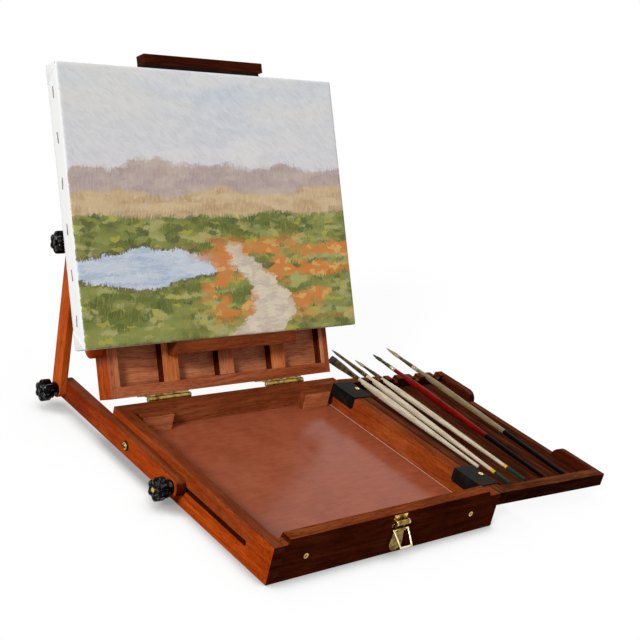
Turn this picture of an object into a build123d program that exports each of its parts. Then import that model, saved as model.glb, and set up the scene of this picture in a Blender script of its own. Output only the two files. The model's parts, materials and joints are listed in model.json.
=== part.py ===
from build123d import *
import os
from math import cos, radians, sin

# A pochade box: a shallow paint tray with a palette, a hinged lid that clamps a
# stretched canvas, a sliding prop on the left side and a brush tray on the right.
# Millimetres. X runs right, Y runs back, Z runs up. The model is drawn from the
# tray's front left bottom corner and moved at the end, so that the written parts
# have their origin in the middle of the tray's underside.

# ---- tray ----
BOX_W = 292.0
BOX_D = 266.5
TRAY_H = 37.5
WALL = 12.2
TRAY_FINGERS = 6
LIP_RISE = 5.4
LIP_CURVE_R = 5.0
BASE_T = 5.0
CLEAT_H = 3.0
CLEAT_W = 10.0
SLOT_FRONT = 35.3
SLOT_BEHIND_GUIDE = 11.2
SLOT_H = 5.4
FRONT_SCREW_INSET = 39.0
FRONT_SCREW_Z = 22.0

# ---- palette ----
PALETTE_T = 5.0
GLASS_T = 2.0
PALETTE_INSET_LEFT = 5.4
PALETTE_INSET_RIGHT = 2.8
PALETTE_GAP = 0.3
BLOCK_W = 37.0
BLOCK_D = 10.5
BLOCK_TOP = 33.3
BLOCK_OFFSET = 9.3

# ---- lid, in its own terms: x, u up from the hinge edge, w out from the rim ----
LID_OPEN = 118.8
LID_DEPTH = 22.0
LID_BOARD = 6.4
LID_FINGERS = 5
LINER_T = 5.8
LID_FOOT = 11.5
LID_RECESS = 10.0
INNER_PANEL_T = 6.0
LIP_GAP = 0.6
PAD_W = 19.4
PAD_INSET = 65.0
MAST_W = 19.4
MAST_GAP = 0.3
TOP_NOTCH_LAP = 10.0
GUIDE_W = 5.5
GUIDE_H = 6.0
GUIDE_U0 = 60.0
GUIDE_END = 21.5

# ---- canvas and its clamps ----
CANVAS_W = 356.0
CANVAS_L = 282.6
CANVAS_T = 20.6
CANVAS_SHIFT = -3.3
CANVAS_BACK = 0.2
CLOTH_T = 0.8
CLOTH_TURN = 14.0
STRETCHER_W = 38.0
CLAMP_GAP = 0.3
LOW_CLAMP_W = 157.0
LOW_CLAMP_SHIFT = 5.5
LOW_CLAMP_U = 38.0
LOW_CLAMP_H = 12.8
LOW_CLAMP_OUT = 19.6
TOP_CLAMP_W = 155.0
TOP_CLAMP_SHIFT = 3.5
TOP_CLAMP_H = 10.4
TOP_CLAMP_OUT = 14.0
GRIP_L = 149.0
GRIP_T = 5.6
STAPLE_L = 11.0
STAPLE_T = 0.9
STAPLE_PITCH = 45.0

# ---- hinges ----
PIN_OUT = 4.6
PIN_R = 1.5
KNUCKLE_R = 3.0
LEAF_T = 1.5
LEAF_H = 19.0
LEAF_L = 52.0
LEAF_INSET = 43.0
LEAF_SCREW_INSET = 8.0
KNUCKLES = 5
KNUCKLE_GAP = 0.2
RUN_FIT = 0.05

# ---- prop linkage on the left side ----
RAIL_T = 11.0
RAIL_H = 20.0
RAIL_Z = 19.8
RAIL_L = 226.5
RAIL_BEHIND = 90.0
RAIL_GUIDE_STEP = 80.0
STRUT_L = 156.9
STRUT_W = 17.5
STRUT_T = 7.3
STRUT_LEAN = 5.7
SLIDE_GAP = 0.2
LAYER_GAP = 0.3
BOLT_R = 2.4
BOLT_HEAD_R = 5.0
BOLT_HEAD_T = 2.6
WASHER_R = 4.65
NUT_R = 4.5
WASHER_T = 1.2
GUIDE_HEAD_R = 5.2
GUIDE_HEAD_T = 3.0
LID_BAR_U0 = 42.7
LID_BAR_END = 4.5
LID_BAR_W = 20.5
LID_BAR_BACK = 1.5
LID_BAR_T = 11.2
LID_SLOT_U0 = 121.0
LID_SLOT_L = 44.5
LID_SLOT_W = 7.0
KNOB_R = 11.5
KNOB_LOBE_R = 3.4
KNOB_LOBES = 6
KNOB_L = 15.0
KNOB_BOSS_R = 7.0
KNOB_BOSS_L = 3.5
BOLT_END_OUT = 0.8

# ---- latch on the front wall ----
LATCH_SHIFT = 4.0
LATCH_PLATE_W = 17.0
LATCH_PLATE_H = 13.0
LATCH_PLATE_T = 1.2
LATCH_TOP_Z = 42.0
LATCH_PIN_OUT = 4.6
LATCH_PIN_Z = 35.6
LATCH_PIN_R = 1.2
LATCH_KNUCKLE_R = 2.5
LATCH_EAR_T = 1.4
LATCH_GAP = 0.2
LEVER_T = 1.2
LEVER_NECK_W = 10.0
LEVER_END_W = 16.5
LEVER_END_Z = 4.4
BAIL_WIRE_R = 0.9
BAIL_PIN_Z = 28.4
BAIL_TUBE_R = 1.9
BAIL_TOP_W = 18.6
BAIL_END_W = 14.4
BAIL_L = 16.8
BAIL_LEAN = 45.0
BAIL_TUBE_SINK = 0.4
STRIKE_H = 10.0
STRIKE_GAP = 0.8
STRIKE_OUT = 4.0

# ---- brush tray on the right side, drawn flat and then drooped ----
SIDE_W = 177.0
SIDE_D = 260.5
SIDE_H = 14.0
SIDE_GAP = 0.6
SIDE_Z = 23.8
SIDE_DROOP = 2.7
SIDE_FLOOR_T = 3.0
SIDE_LEFT_W = 11.0
SIDE_RIGHT_W = 8.5
SIDE_FRONT_W = 12.5
SIDE_BACK_W = 10.5
DIP_FRONT = 56.0
DIP_BACK = 50.5
DIP_R = 11.0
NOTCH_R = 5.0
SWELL_BACK = 40.0
HANDLE_STATIONS = (0.2, 0.4, 0.6, 0.75, 0.85, 0.93)
NOTCH_X0 = 33.0
NOTCH_PITCH = 18.2
NOTCH_COUNT = 8
HOOK_FRONT = 16.0
HOOK_BACK = 3.3
HOOK_L = 37.5
HOOK_T = 1.3
HOOK_CORNER_R = 3.2
HOOK_DROP = 14.5
HOOK_REACH = 12.5
HOOK_WALL_GAP = 1.0

# ---- fasteners ----
SCREW_HEAD_R = 2.7
LATCH_SCREW_R = 2.2
SCREW_SHANK_R = 1.4
SCREW_L = 9.0
SCREW_HEAD_T = 1.1
CROSS_ARM = 0.62
CROSS_HALF_W = 0.14
CROSS_DEPTH = 0.7
GUIDE_CROSS_DEPTH = 1.5
PILOT_GAP = 0.1
TRIPOD_MINOR_R = 2.6
TRIPOD_BARREL_R = 4.2
TRIPOD_FLANGE_R = 9.5
TRIPOD_FLANGE_T = 1.2

# ---- worked out from the sizes above ----
BACK_IN = BOX_D - WALL
RIGHT_IN = BOX_W - WALL
PIN_Y = BOX_D + PIN_OUT
PIN_Z = TRAY_H
HINGE_AXIS = Axis((0, PIN_Y, PIN_Z), (1, 0, 0))
PALETTE_Z = BASE_T + CLEAT_H
PALETTE_TOP = PALETTE_Z + PALETTE_T + GLASS_T
FRONT_SCREW_X = (FRONT_SCREW_INSET, BOX_W - FRONT_SCREW_INSET)
LEAF_X = (LEAF_INSET, BOX_W - LEAF_INSET - LEAF_L)
RAIL_Y = (BOX_D + RAIL_BEHIND - RAIL_L, BOX_D + RAIL_BEHIND)
RAIL_KNOB_Y = RAIL_Y[0] + RAIL_H / 2
RAIL_GUIDE_Y = RAIL_KNOB_Y + RAIL_GUIDE_STEP
RAIL_X = -SLIDE_GAP - RAIL_T
STRUT_X = -LID_BAR_T - LAYER_GAP
STRUT_PIVOT_Y = RAIL_Y[1] - RAIL_H / 2
STRUT_TOP_Y = STRUT_PIVOT_Y + STRUT_L * sin(radians(STRUT_LEAN))
STRUT_TOP_Z = RAIL_Z + STRUT_L * cos(radians(STRUT_LEAN))
CANVAS_U = LOW_CLAMP_U + LOW_CLAMP_H + CLAMP_GAP
GRIP_U = CANVAS_U + CANVAS_L + CLAMP_GAP
TOP_CLAMP_U = GRIP_U + GRIP_T
LID_INNER = LID_BOARD + LINER_T
LID_MID = BOX_W / 2
PAD_X = (PAD_INSET, BOX_W - PAD_INSET - PAD_W)
MAST_X = LID_MID - MAST_W / 2
CANVAS_X = LID_MID + CANVAS_SHIFT - CANVAS_W / 2
LATCH_X = LID_MID + LATCH_SHIFT
SIDE_X = BOX_W + SIDE_GAP
HOOK_Y = (HOOK_FRONT, BACK_IN - HOOK_BACK - HOOK_L)
FLOOR_IN_X = SIDE_W - SIDE_RIGHT_W

parts = {}


def block(x0, x1, y0, y1, z0, z1):
    """A box between two corners."""
    size = Box(x1 - x0, y1 - y0, z1 - z0)
    return Pos((x0 + x1) / 2, (y0 + y1) / 2, (z0 + z1) / 2) * size


def rod_x(x0, x1, y, z, radius):
    """A round bar along X."""
    return Pos((x0 + x1) / 2, y, z) * Rot(0, 90, 0) * Cylinder(radius, abs(x1 - x0))


def rod_y(x, y0, y1, z, radius):
    """A round bar along Y."""
    return Pos(x, (y0 + y1) / 2, z) * Rot(90, 0, 0) * Cylinder(radius, abs(y1 - y0))


def rod_z(x, y, z0, z1, radius):
    """A round bar along Z."""
    return Pos(x, y, (z0 + z1) / 2) * Cylinder(radius, abs(z1 - z0))


def slot_x(x0, x1, y0, y1, z, height):
    """A round-ended bar of slot shape, standing through a wall along X."""
    r = height / 2
    body = block(x0, x1, y0 + r, y1 - r, z - r, z + r)
    return body + rod_x(x0, x1, y0 + r, z, r) + rod_x(x0, x1, y1 - r, z, r)


def lid_block(x0, x1, u0, u1, w0, w1):
    """A box in lid terms, drawn with the lid shut."""
    return block(x0, x1, BOX_D - u1, BOX_D - u0, TRAY_H - w1, TRAY_H - w0)


def opened(shape):
    """Turn a shape that was drawn with the lid shut to the open lid."""
    return shape.rotate(HINGE_AXIS, -LID_OPEN)


def drooped(shape):
    """Place a shape that was drawn flat into the brush tray's frame."""
    return Pos(SIDE_X, 0, SIDE_Z) * Rot(0, SIDE_DROOP, 0) * shape


def pilot_z(x, y, z0, z1):
    """A pilot hole along Z."""
    return rod_z(x, y, z0, z1, SCREW_SHANK_R + PILOT_GAP)


def cross_recess(head_r, depth):
    """Cutter for a driver's cross in a screw head whose face is at zero, looking up."""
    arm = head_r * CROSS_ARM
    half_w = head_r * CROSS_HALF_W
    return block(-arm, arm, -half_w, half_w, -depth, 1) + block(-half_w, half_w, -arm, arm, -depth, 1)


def screw_z(x, y, seat_z):
    """A wood screw driven down, its head on seat_z."""
    face_z = seat_z + SCREW_HEAD_T
    head = rod_z(x, y, seat_z, face_z, SCREW_HEAD_R)
    head -= Pos(x, y, face_z) * cross_recess(SCREW_HEAD_R, CROSS_DEPTH)
    return head + rod_z(x, y, seat_z - SCREW_L, seat_z, SCREW_SHANK_R)


def screw_y(x, z, seat_y, outward, head_r=SCREW_HEAD_R):
    """A wood screw along Y, its head on seat_y, outward being +1 or -1."""
    face_y = seat_y + outward * SCREW_HEAD_T
    head = rod_y(x, seat_y, face_y, z, head_r)
    head -= Pos(x, face_y, z) * Rot(-90 * outward, 0, 0) * cross_recess(head_r, CROSS_DEPTH)
    return head + rod_y(x, seat_y - outward * SCREW_L, seat_y, z, SCREW_SHANK_R)


def pilot_y(x, z, y0, y1):
    """A pilot hole along Y."""
    return rod_y(x, y0, y1, z, SCREW_SHANK_R + PILOT_GAP)


# ---------------------------------------------------------------- tray
def leaf_screw_spots():
    """X places of the three screws in each hinge leaf."""
    spots = []
    for x0 in LEAF_X:
        spots += [x0 + LEAF_SCREW_INSET, x0 + LEAF_L / 2, x0 + LEAF_L - LEAF_SCREW_INSET]
    return spots


LEAF_NECK_Z = PIN_Z - KNUCKLE_R
LEAF_SCREW_Z = LEAF_NECK_Z - LEAF_H / 2
LATCH_SCREW_Z = LATCH_TOP_Z - LATCH_SCREW_R - 0.3
LATCH_SCREW_X = (LATCH_X - LATCH_PLATE_W / 4, LATCH_X + LATCH_PLATE_W / 4)


def fingers(make, low, high, count, first):
    """Every second finger of a box joint that runs from low to high."""
    step = (high - low) / count
    joint = make(low + first * step, low + (first + 1) * step)
    for i in range(first + 2, count, 2):
        joint += make(low + i * step, low + (i + 1) * step)
    return joint


def corner_fingers(x0, y0):
    """The front or back board's fingers in one corner of the tray."""
    return fingers(lambda z0, z1: block(x0, x0 + WALL, y0, y0 + WALL, z0, z1),
                   0, TRAY_H, TRAY_FINGERS, 0)


def tray_front():
    """Front board with the raised lip, hollowed to the side walls at its ends."""
    board = block(WALL, RIGHT_IN, 0, WALL, 0, TRAY_H + LIP_RISE)
    for x in (WALL, RIGHT_IN):
        board -= rod_y(x, -1, WALL + 1, TRAY_H + LIP_CURVE_R, LIP_CURVE_R)
    trim_z = TRAY_H + LIP_CURVE_R
    board -= block(WALL - 1, WALL + LIP_CURVE_R, -1, WALL + 1, trim_z, trim_z + LIP_RISE)
    board -= block(RIGHT_IN - LIP_CURVE_R, RIGHT_IN + 1, -1, WALL + 1, trim_z, trim_z + LIP_RISE)
    for x in FRONT_SCREW_X:
        board -= pilot_y(x, FRONT_SCREW_Z, -1, SCREW_L + 0.5)
    for x in LATCH_SCREW_X:
        board -= pilot_y(x, LATCH_SCREW_Z, -1, SCREW_L + 0.5)
    return board + corner_fingers(0, 0) + corner_fingers(RIGHT_IN, 0)


def tray_back():
    """Back board that carries the hinges."""
    board = block(WALL, RIGHT_IN, BACK_IN, BOX_D, 0, TRAY_H)
    for x in leaf_screw_spots():
        board -= pilot_y(x, LEAF_SCREW_Z, BOX_D - SCREW_L - 0.5, BOX_D + 1)
    return board + corner_fingers(0, BACK_IN) + corner_fingers(RIGHT_IN, BACK_IN)


def tray_side(x0):
    """A side board, cut at both ends for the front and back boards' fingers."""
    board = block(x0, x0 + WALL, 0, BOX_D, 0, TRAY_H)
    return board - corner_fingers(x0, 0) - corner_fingers(x0, BACK_IN)


def tray_left():
    """Left board with the long slot that guides the prop rail."""
    board = tray_side(0)
    return board - slot_x(-1, WALL + 1, SLOT_FRONT, RAIL_GUIDE_Y + SLOT_BEHIND_GUIDE, RAIL_Z, SLOT_H)


def tray_base():
    """Plywood bottom with the hole for the tripod nut's barrel."""
    panel = block(WALL, RIGHT_IN, WALL, BACK_IN, 0, BASE_T)
    return panel - rod_z(BOX_W / 2, BOX_D / 2, -1, BASE_T + 1, TRIPOD_BARREL_R)


def tripod_nut():
    """Flanged nut let into the bottom from inside."""
    flange_top = BASE_T + TRIPOD_FLANGE_T
    nut = rod_z(BOX_W / 2, BOX_D / 2, 0, BASE_T, TRIPOD_BARREL_R)
    nut += rod_z(BOX_W / 2, BOX_D / 2, BASE_T, flange_top, TRIPOD_FLANGE_R)
    return nut - rod_z(BOX_W / 2, BOX_D / 2, -1, flange_top + 1, TRIPOD_MINOR_R)


BLOCK_X = (WALL + BLOCK_OFFSET, RIGHT_IN - BLOCK_OFFSET - BLOCK_W)


def rear_block(x0):
    """Wooden block on the bottom against the back wall."""
    return block(x0, x0 + BLOCK_W, BACK_IN - BLOCK_D, BACK_IN, BASE_T, BLOCK_TOP)


def palette_cleats():
    """Strips on the bottom that hold the palette up."""
    z1 = PALETTE_Z
    left = block(WALL, WALL + CLEAT_W, WALL, BACK_IN - BLOCK_D - 2, BASE_T, z1)
    right = block(RIGHT_IN - CLEAT_W, RIGHT_IN, WALL, BACK_IN - BLOCK_D - 2, BASE_T, z1)
    x0 = BLOCK_X[0] + BLOCK_W + 2
    back = block(x0, BLOCK_X[1] - 2, BACK_IN - CLEAT_W, BACK_IN, BASE_T, z1)
    front = block(WALL + CLEAT_W, RIGHT_IN - CLEAT_W, WALL, WALL + CLEAT_W, BASE_T, z1)
    return [left, right, back, front]


def palette_sheet(z0, z1):
    """Palette outline, notched round the two rear blocks."""
    x0 = WALL + PALETTE_INSET_LEFT
    x1 = RIGHT_IN - PALETTE_INSET_RIGHT
    sheet = block(x0, x1, WALL + PALETTE_GAP, BACK_IN - PALETTE_GAP, z0, z1)
    for bx in BLOCK_X:
        sheet -= block(bx - PALETTE_GAP, bx + BLOCK_W + PALETTE_GAP,
                       BACK_IN - BLOCK_D - PALETTE_GAP, BACK_IN + 1, z0 - 1, z1 + 1)
    return sheet


# ---------------------------------------------------------------- hinges
def hinge_leaf(x0, keep, side):
    """One leaf on the shut box: side -1 lies on the tray, +1 on the lid."""
    neck = PIN_Z + side * KNUCKLE_R
    neck_in = neck - side * LEAF_T
    far = neck_in + side * LEAF_H
    leaf = block(x0, x0 + LEAF_L, BOX_D, BOX_D + LEAF_T, min(neck_in, far), max(neck_in, far))
    step = LEAF_L / KNUCKLES
    for i in keep:
        a = x0 + i * step + KNUCKLE_GAP / 2
        b = a + step - KNUCKLE_GAP
        leaf += block(a, b, BOX_D + LEAF_T, PIN_Y, min(neck_in, neck), max(neck_in, neck))
        leaf += rod_x(a, b, PIN_Y, PIN_Z, KNUCKLE_R)
    bore = rod_x(x0 - 1, x0 + LEAF_L + 1, PIN_Y, PIN_Z, PIN_R + RUN_FIT)
    leaf -= bore
    z = LEAF_SCREW_Z if side < 0 else 2 * PIN_Z - LEAF_SCREW_Z
    for x in leaf_screw_spots():
        leaf -= pilot_y(x, z, BOX_D - 1, BOX_D + LEAF_T + 1)
    return leaf


def hinge_screws(side):
    """Screws of both leaves on one side of the hinge."""
    z = LEAF_SCREW_Z if side < 0 else 2 * PIN_Z - LEAF_SCREW_Z
    return [screw_y(x, z, BOX_D + LEAF_T, 1) for x in leaf_screw_spots()]


TRAY_KNUCKLES = range(0, KNUCKLES, 2)
LID_KNUCKLES = range(1, KNUCKLES, 2)


# ---------------------------------------------------------------- latch
def latch_plate():
    """Plate screwed to the front wall, with two ears for the lever's pin."""
    x0 = LATCH_X - LATCH_PLATE_W / 2
    x1 = LATCH_X + LATCH_PLATE_W / 2
    z0 = LATCH_TOP_Z - LATCH_PLATE_H
    plate = block(x0, x1, -LATCH_PLATE_T, 0, z0, LATCH_TOP_Z)
    for a in (x0, x1 - LATCH_EAR_T):
        plate += block(a, a + LATCH_EAR_T, -LATCH_PIN_OUT, 0, LATCH_PIN_Z - LATCH_KNUCKLE_R,
                       LATCH_PIN_Z + LATCH_KNUCKLE_R)
        plate += rod_x(a, a + LATCH_EAR_T, -LATCH_PIN_OUT, LATCH_PIN_Z, LATCH_KNUCKLE_R)
    plate -= rod_x(x0 - 1, x1 + 1, -LATCH_PIN_OUT, LATCH_PIN_Z, LATCH_PIN_R)
    for x in LATCH_SCREW_X:
        plate -= pilot_y(x, LATCH_SCREW_Z, -LATCH_PLATE_T - 1, 1)
    return plate


def latch_lever():
    """Lever that hangs from the pin, widening to a round end, with a tube for the bail."""
    inner = LATCH_PLATE_W / 2 - LATCH_EAR_T - LATCH_GAP
    back = -LATCH_PIN_OUT + LATCH_KNUCKLE_R
    end_r = LEVER_END_W / 2
    end_z = LEVER_END_Z + end_r
    outline = make_face(Polyline(
        (LATCH_X - LEVER_NECK_W / 2, LATCH_PIN_Z),
        (LATCH_X + LEVER_NECK_W / 2, LATCH_PIN_Z),
        (LATCH_X + end_r, end_z),
        (LATCH_X - end_r, end_z),
        close=True))
    plate = Pos(0, back, 0) * Rot(90, 0, 0) * extrude(outline, LEVER_T)
    plate += rod_y(LATCH_X, back - LEVER_T, back, end_z, end_r)
    lever = plate + rod_x(LATCH_X - inner, LATCH_X + inner, -LATCH_PIN_OUT, LATCH_PIN_Z,
                          LATCH_KNUCKLE_R)
    lever += rod_x(LATCH_X - LEVER_NECK_W / 2, LATCH_X + LEVER_NECK_W / 2, bail_y(),
                   BAIL_PIN_Z, BAIL_TUBE_R)
    x0 = LATCH_X - LATCH_PLATE_W
    x1 = LATCH_X + LATCH_PLATE_W
    lever -= rod_x(x0, x1, -LATCH_PIN_OUT, LATCH_PIN_Z, LATCH_PIN_R + RUN_FIT)
    lever -= rod_x(x0, x1, bail_y(), BAIL_PIN_Z, BAIL_WIRE_R + RUN_FIT)
    return lever


def bail_y():
    """Y of the bail's pin line on the lever."""
    return -LATCH_PIN_OUT + LATCH_KNUCKLE_R - LEVER_T - BAIL_TUBE_R + BAIL_TUBE_SINK


def wire(points, radius):
    """A closed wire loop of straight runs with ball corners."""
    loop = None
    for i, start in enumerate(points):
        end = points[(i + 1) % len(points)]
        span = Vector(*end) - Vector(*start)
        run = Plane(origin=start, z_dir=span) * Pos(0, 0, span.length / 2) * Cylinder(radius, span.length)
        piece = run + Pos(*start) * Sphere(radius)
        loop = piece if loop is None else loop + piece
    return loop


def latch_bail():
    """Wire loop pinned in the lever's tube and standing out from the wall."""
    out = BAIL_L * sin(radians(BAIL_LEAN))
    down = BAIL_L * cos(radians(BAIL_LEAN))
    y = bail_y()
    return wire([
        (LATCH_X - BAIL_TOP_W / 2, y, BAIL_PIN_Z),
        (LATCH_X + BAIL_TOP_W / 2, y, BAIL_PIN_Z),
        (LATCH_X + BAIL_END_W / 2, y - out, BAIL_PIN_Z - down),
        (LATCH_X - BAIL_END_W / 2, y - out, BAIL_PIN_Z - down),
    ], BAIL_WIRE_R)


def latch_strike():
    """Catch plate on the lid's top board, drawn with the lid shut."""
    x0 = LATCH_X - LATCH_PLATE_W / 2
    x1 = LATCH_X + LATCH_PLATE_W / 2
    hook_x0 = LATCH_X - LEVER_NECK_W / 2
    hook_x1 = LATCH_X + LEVER_NECK_W / 2
    z0 = TRAY_H + LID_RECESS + STRIKE_GAP
    shelf_z = z0 + STRIKE_H / 2
    plate = block(x0, x1, -LATCH_PLATE_T, 0, z0, z0 + STRIKE_H)
    plate += block(hook_x0, hook_x1, -STRIKE_OUT, 0, shelf_z, shelf_z + LATCH_PLATE_T)
    return plate + block(hook_x0, hook_x1, -STRIKE_OUT, -STRIKE_OUT + LATCH_PLATE_T,
                         shelf_z, z0 + STRIKE_H - STRIKE_GAP)


# ---------------------------------------------------------------- prop linkage
def side_rail():
    """Round-ended rail that slides along the left wall."""
    rail = slot_x(RAIL_X, RAIL_X + RAIL_T, RAIL_Y[0], RAIL_Y[1], RAIL_Z, RAIL_H)
    for y in (RAIL_KNOB_Y, RAIL_GUIDE_Y, STRUT_PIVOT_Y):
        rail -= rod_x(RAIL_X - 1, 1, y, RAIL_Z, BOLT_R)
    inner = RAIL_X + RAIL_T
    recess = BOLT_HEAD_T + 0.4
    return rail - rod_x(inner - recess, inner + 1, STRUT_PIVOT_Y, RAIL_Z, BOLT_HEAD_R + 0.3)


def clamp_bolt():
    """Bolt from inside the tray, through the slot and rail, to the knob's face."""
    head_x = WALL + WASHER_T + 2 * SLIDE_GAP
    end_x = RAIL_X - LAYER_GAP - KNOB_BOSS_L - KNOB_L - BOLT_END_OUT
    bolt = rod_x(end_x, head_x, RAIL_KNOB_Y, RAIL_Z, BOLT_R)
    return bolt + rod_x(head_x, head_x + BOLT_HEAD_T, RAIL_KNOB_Y, RAIL_Z, NUT_R)


def guide_screw():
    """Round-head screw that guides the rail in the slot."""
    head_x = WALL + WASHER_T + 2 * SLIDE_GAP
    shank = rod_x(RAIL_X, head_x, RAIL_GUIDE_Y, RAIL_Z, BOLT_R)
    nut = rod_x(head_x, head_x + BOLT_HEAD_T, RAIL_GUIDE_Y, RAIL_Z, NUT_R)
    ball_r = (GUIDE_HEAD_R ** 2 + GUIDE_HEAD_T ** 2) / (2 * GUIDE_HEAD_T)
    dome = Pos(RAIL_X - GUIDE_HEAD_T + ball_r, RAIL_GUIDE_Y, RAIL_Z) * Sphere(ball_r)
    dome &= rod_x(RAIL_X - GUIDE_HEAD_T, RAIL_X, RAIL_GUIDE_Y, RAIL_Z, GUIDE_HEAD_R)
    cross = cross_recess(GUIDE_HEAD_R, GUIDE_CROSS_DEPTH)
    dome -= Pos(RAIL_X - GUIDE_HEAD_T, RAIL_GUIDE_Y, RAIL_Z) * Rot(0, -90, 0) * cross
    return shank + nut + dome


def slide_washers():
    """Washers inside the left wall, one under each bolt head."""
    x0 = WALL + SLIDE_GAP
    washers = []
    for y in (RAIL_KNOB_Y, RAIL_GUIDE_Y):
        disc = rod_x(x0, x0 + WASHER_T, y, RAIL_Z, WASHER_R)
        washers.append(disc - rod_x(x0 - 1, x0 + WASHER_T + 1, y, RAIL_Z, BOLT_R))
    return washers


def pivot_bolt():
    """Bolt through the rail's rear end that carries the strut and its knob."""
    inner = RAIL_X + RAIL_T
    end_x = STRUT_X - STRUT_T - LAYER_GAP - KNOB_BOSS_L - KNOB_L - BOLT_END_OUT
    bolt = rod_x(end_x, inner, STRUT_PIVOT_Y, RAIL_Z, BOLT_R)
    return bolt + rod_x(inner - BOLT_HEAD_T, inner, STRUT_PIVOT_Y, RAIL_Z, BOLT_HEAD_R)


def strut():
    """Straight bar with round ends, from the rail's rear end up beside the lid bar."""
    r = STRUT_W / 2
    bar = block(STRUT_X - STRUT_T, STRUT_X, -r, r, 0, STRUT_L)
    bar += rod_x(STRUT_X - STRUT_T, STRUT_X, 0, 0, r) + rod_x(STRUT_X - STRUT_T, STRUT_X, 0, STRUT_L, r)
    bar -= rod_x(STRUT_X - STRUT_T - 1, STRUT_X + 1, 0, 0, BOLT_R + RUN_FIT)
    bar -= rod_x(STRUT_X - STRUT_T - 1, STRUT_X + 1, 0, STRUT_L, BOLT_R)
    return Pos(0, STRUT_PIVOT_Y, RAIL_Z) * Rot(-STRUT_LEAN, 0, 0) * bar


def strut_top_bolt():
    """Bolt at the strut's top, ending at the lid bar's face."""
    end_x = STRUT_X - STRUT_T - LAYER_GAP - KNOB_BOSS_L - KNOB_L - BOLT_END_OUT
    return rod_x(end_x, STRUT_X, STRUT_TOP_Y, STRUT_TOP_Z, BOLT_R)


def star_knob(seat_x, y, z):
    """Lobed clamp knob with a boss, its seat at seat_x and its face further left."""
    star_x = seat_x - KNOB_BOSS_L
    face_x = star_x - KNOB_L
    knob = rod_x(star_x, seat_x, y, z, KNOB_BOSS_R)
    knob += rod_x(face_x, star_x, y, z, KNOB_R - KNOB_LOBE_R * 0.7)
    for i in range(KNOB_LOBES):
        turn = radians(i * 360 / KNOB_LOBES + 15)
        lobe_at = KNOB_R - KNOB_LOBE_R
        knob += rod_x(face_x, star_x, y + lobe_at * cos(turn), z + lobe_at * sin(turn), KNOB_LOBE_R)
    return knob - rod_x(face_x - 1, seat_x + 1, y, z, BOLT_R + RUN_FIT)


# ---------------------------------------------------------------- lid
def lid_top_notch():
    """Room in the lid's top board for the tray's lip and for the mast."""
    lip = lid_block(WALL - 1, RIGHT_IN + 1, BACK_IN - LIP_GAP - TOP_NOTCH_LAP, BOX_D + 1,
                    -LIP_RISE - LIP_GAP, 1)
    channel = lid_block(MAST_X - MAST_GAP, MAST_X + MAST_W + MAST_GAP, BACK_IN - TOP_NOTCH_LAP,
                        BOX_D + 1, -LID_RECESS - MAST_GAP, 1)
    return lip + channel


def lid_fingers(x0, u0, u1):
    """The foot's or the top board's fingers in one corner of the lid."""
    return fingers(lambda w0, w1: lid_block(x0, x0 + LID_BOARD, u0, u1, w0, w1),
                   -LID_DEPTH, 0, LID_FINGERS, 1)


def lid_side(x0):
    """A side board of the lid, cut at both ends for the fingers."""
    board = lid_block(x0, x0 + LID_BOARD, 0, BOX_D, -LID_DEPTH, 0)
    return board - lid_fingers(x0, 0, LID_FOOT) - lid_fingers(x0, BOX_D - LID_BOARD, BOX_D)


def lid_foot():
    """The lid's lower board, which carries the hinges."""
    board = lid_block(LID_BOARD, BOX_W - LID_BOARD, 0, LID_FOOT, -LID_DEPTH, 0)
    for x in leaf_screw_spots():
        board -= pilot_y(x, 2 * PIN_Z - LEAF_SCREW_Z, BOX_D - SCREW_L - 0.5, BOX_D + 1)
    return board + lid_fingers(0, 0, LID_FOOT) + lid_fingers(BOX_W - LID_BOARD, 0, LID_FOOT)


def lid_top():
    """The lid's upper board, notched for the tray's lip and the mast."""
    board = lid_block(LID_BOARD, BOX_W - LID_BOARD, BOX_D - LID_BOARD, BOX_D, -LID_DEPTH, 0)
    for x0 in (0, BOX_W - LID_BOARD):
        board += lid_fingers(x0, BOX_D - LID_BOARD, BOX_D)
    return board - lid_top_notch()


def lid_liners():
    """Thin strips inside the lid's left, right and top boards."""
    left = lid_block(LID_BOARD, LID_INNER, LID_FOOT, BOX_D - LID_BOARD, -LID_DEPTH, 0)
    right = lid_block(BOX_W - LID_INNER, BOX_W - LID_BOARD, LID_FOOT, BOX_D - LID_BOARD, -LID_DEPTH, 0)
    top = lid_block(LID_INNER, BOX_W - LID_INNER, BOX_D - LID_INNER, BOX_D - LID_BOARD, -LID_DEPTH, 0)
    return [left, right, top - lid_top_notch()]


def lid_panel(w0, w1):
    """A panel that fills the lid between its liners."""
    return lid_block(LID_INNER, BOX_W - LID_INNER, LID_FOOT, BOX_D - LID_INNER, w0, w1)


def lid_pads():
    """Two fixed battens on the lid's panel, under the canvas."""
    u1 = BOX_D - LID_INNER - 1
    return [lid_block(x, x + PAD_W, LID_FOOT, u1, -LID_RECESS, 0) for x in PAD_X]


def mast_guides():
    """Strips on both sides of the sliding mast."""
    left = MAST_X - MAST_GAP - GUIDE_W
    right = MAST_X + MAST_W + MAST_GAP
    return [lid_block(x, x + GUIDE_W, GUIDE_U0, BOX_D - GUIDE_END, -LID_RECESS, -LID_RECESS + GUIDE_H)
            for x in (left, right)]


def lid_bar():
    """Slotted bar along the lid's left board, where the strut's head runs."""
    u1 = BOX_D - LID_BAR_END
    w_mid = -LID_BAR_BACK - LID_BAR_W / 2
    bar = slot_x(-LID_BAR_T, 0, BOX_D - u1, BOX_D - LID_BAR_U0, TRAY_H - w_mid, LID_BAR_W)
    return bar - slot_x(-LID_BAR_T - 1, 1, BOX_D - LID_SLOT_U0 - LID_SLOT_L, BOX_D - LID_SLOT_U0,
                        TRAY_H - w_mid, LID_SLOT_W)


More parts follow.
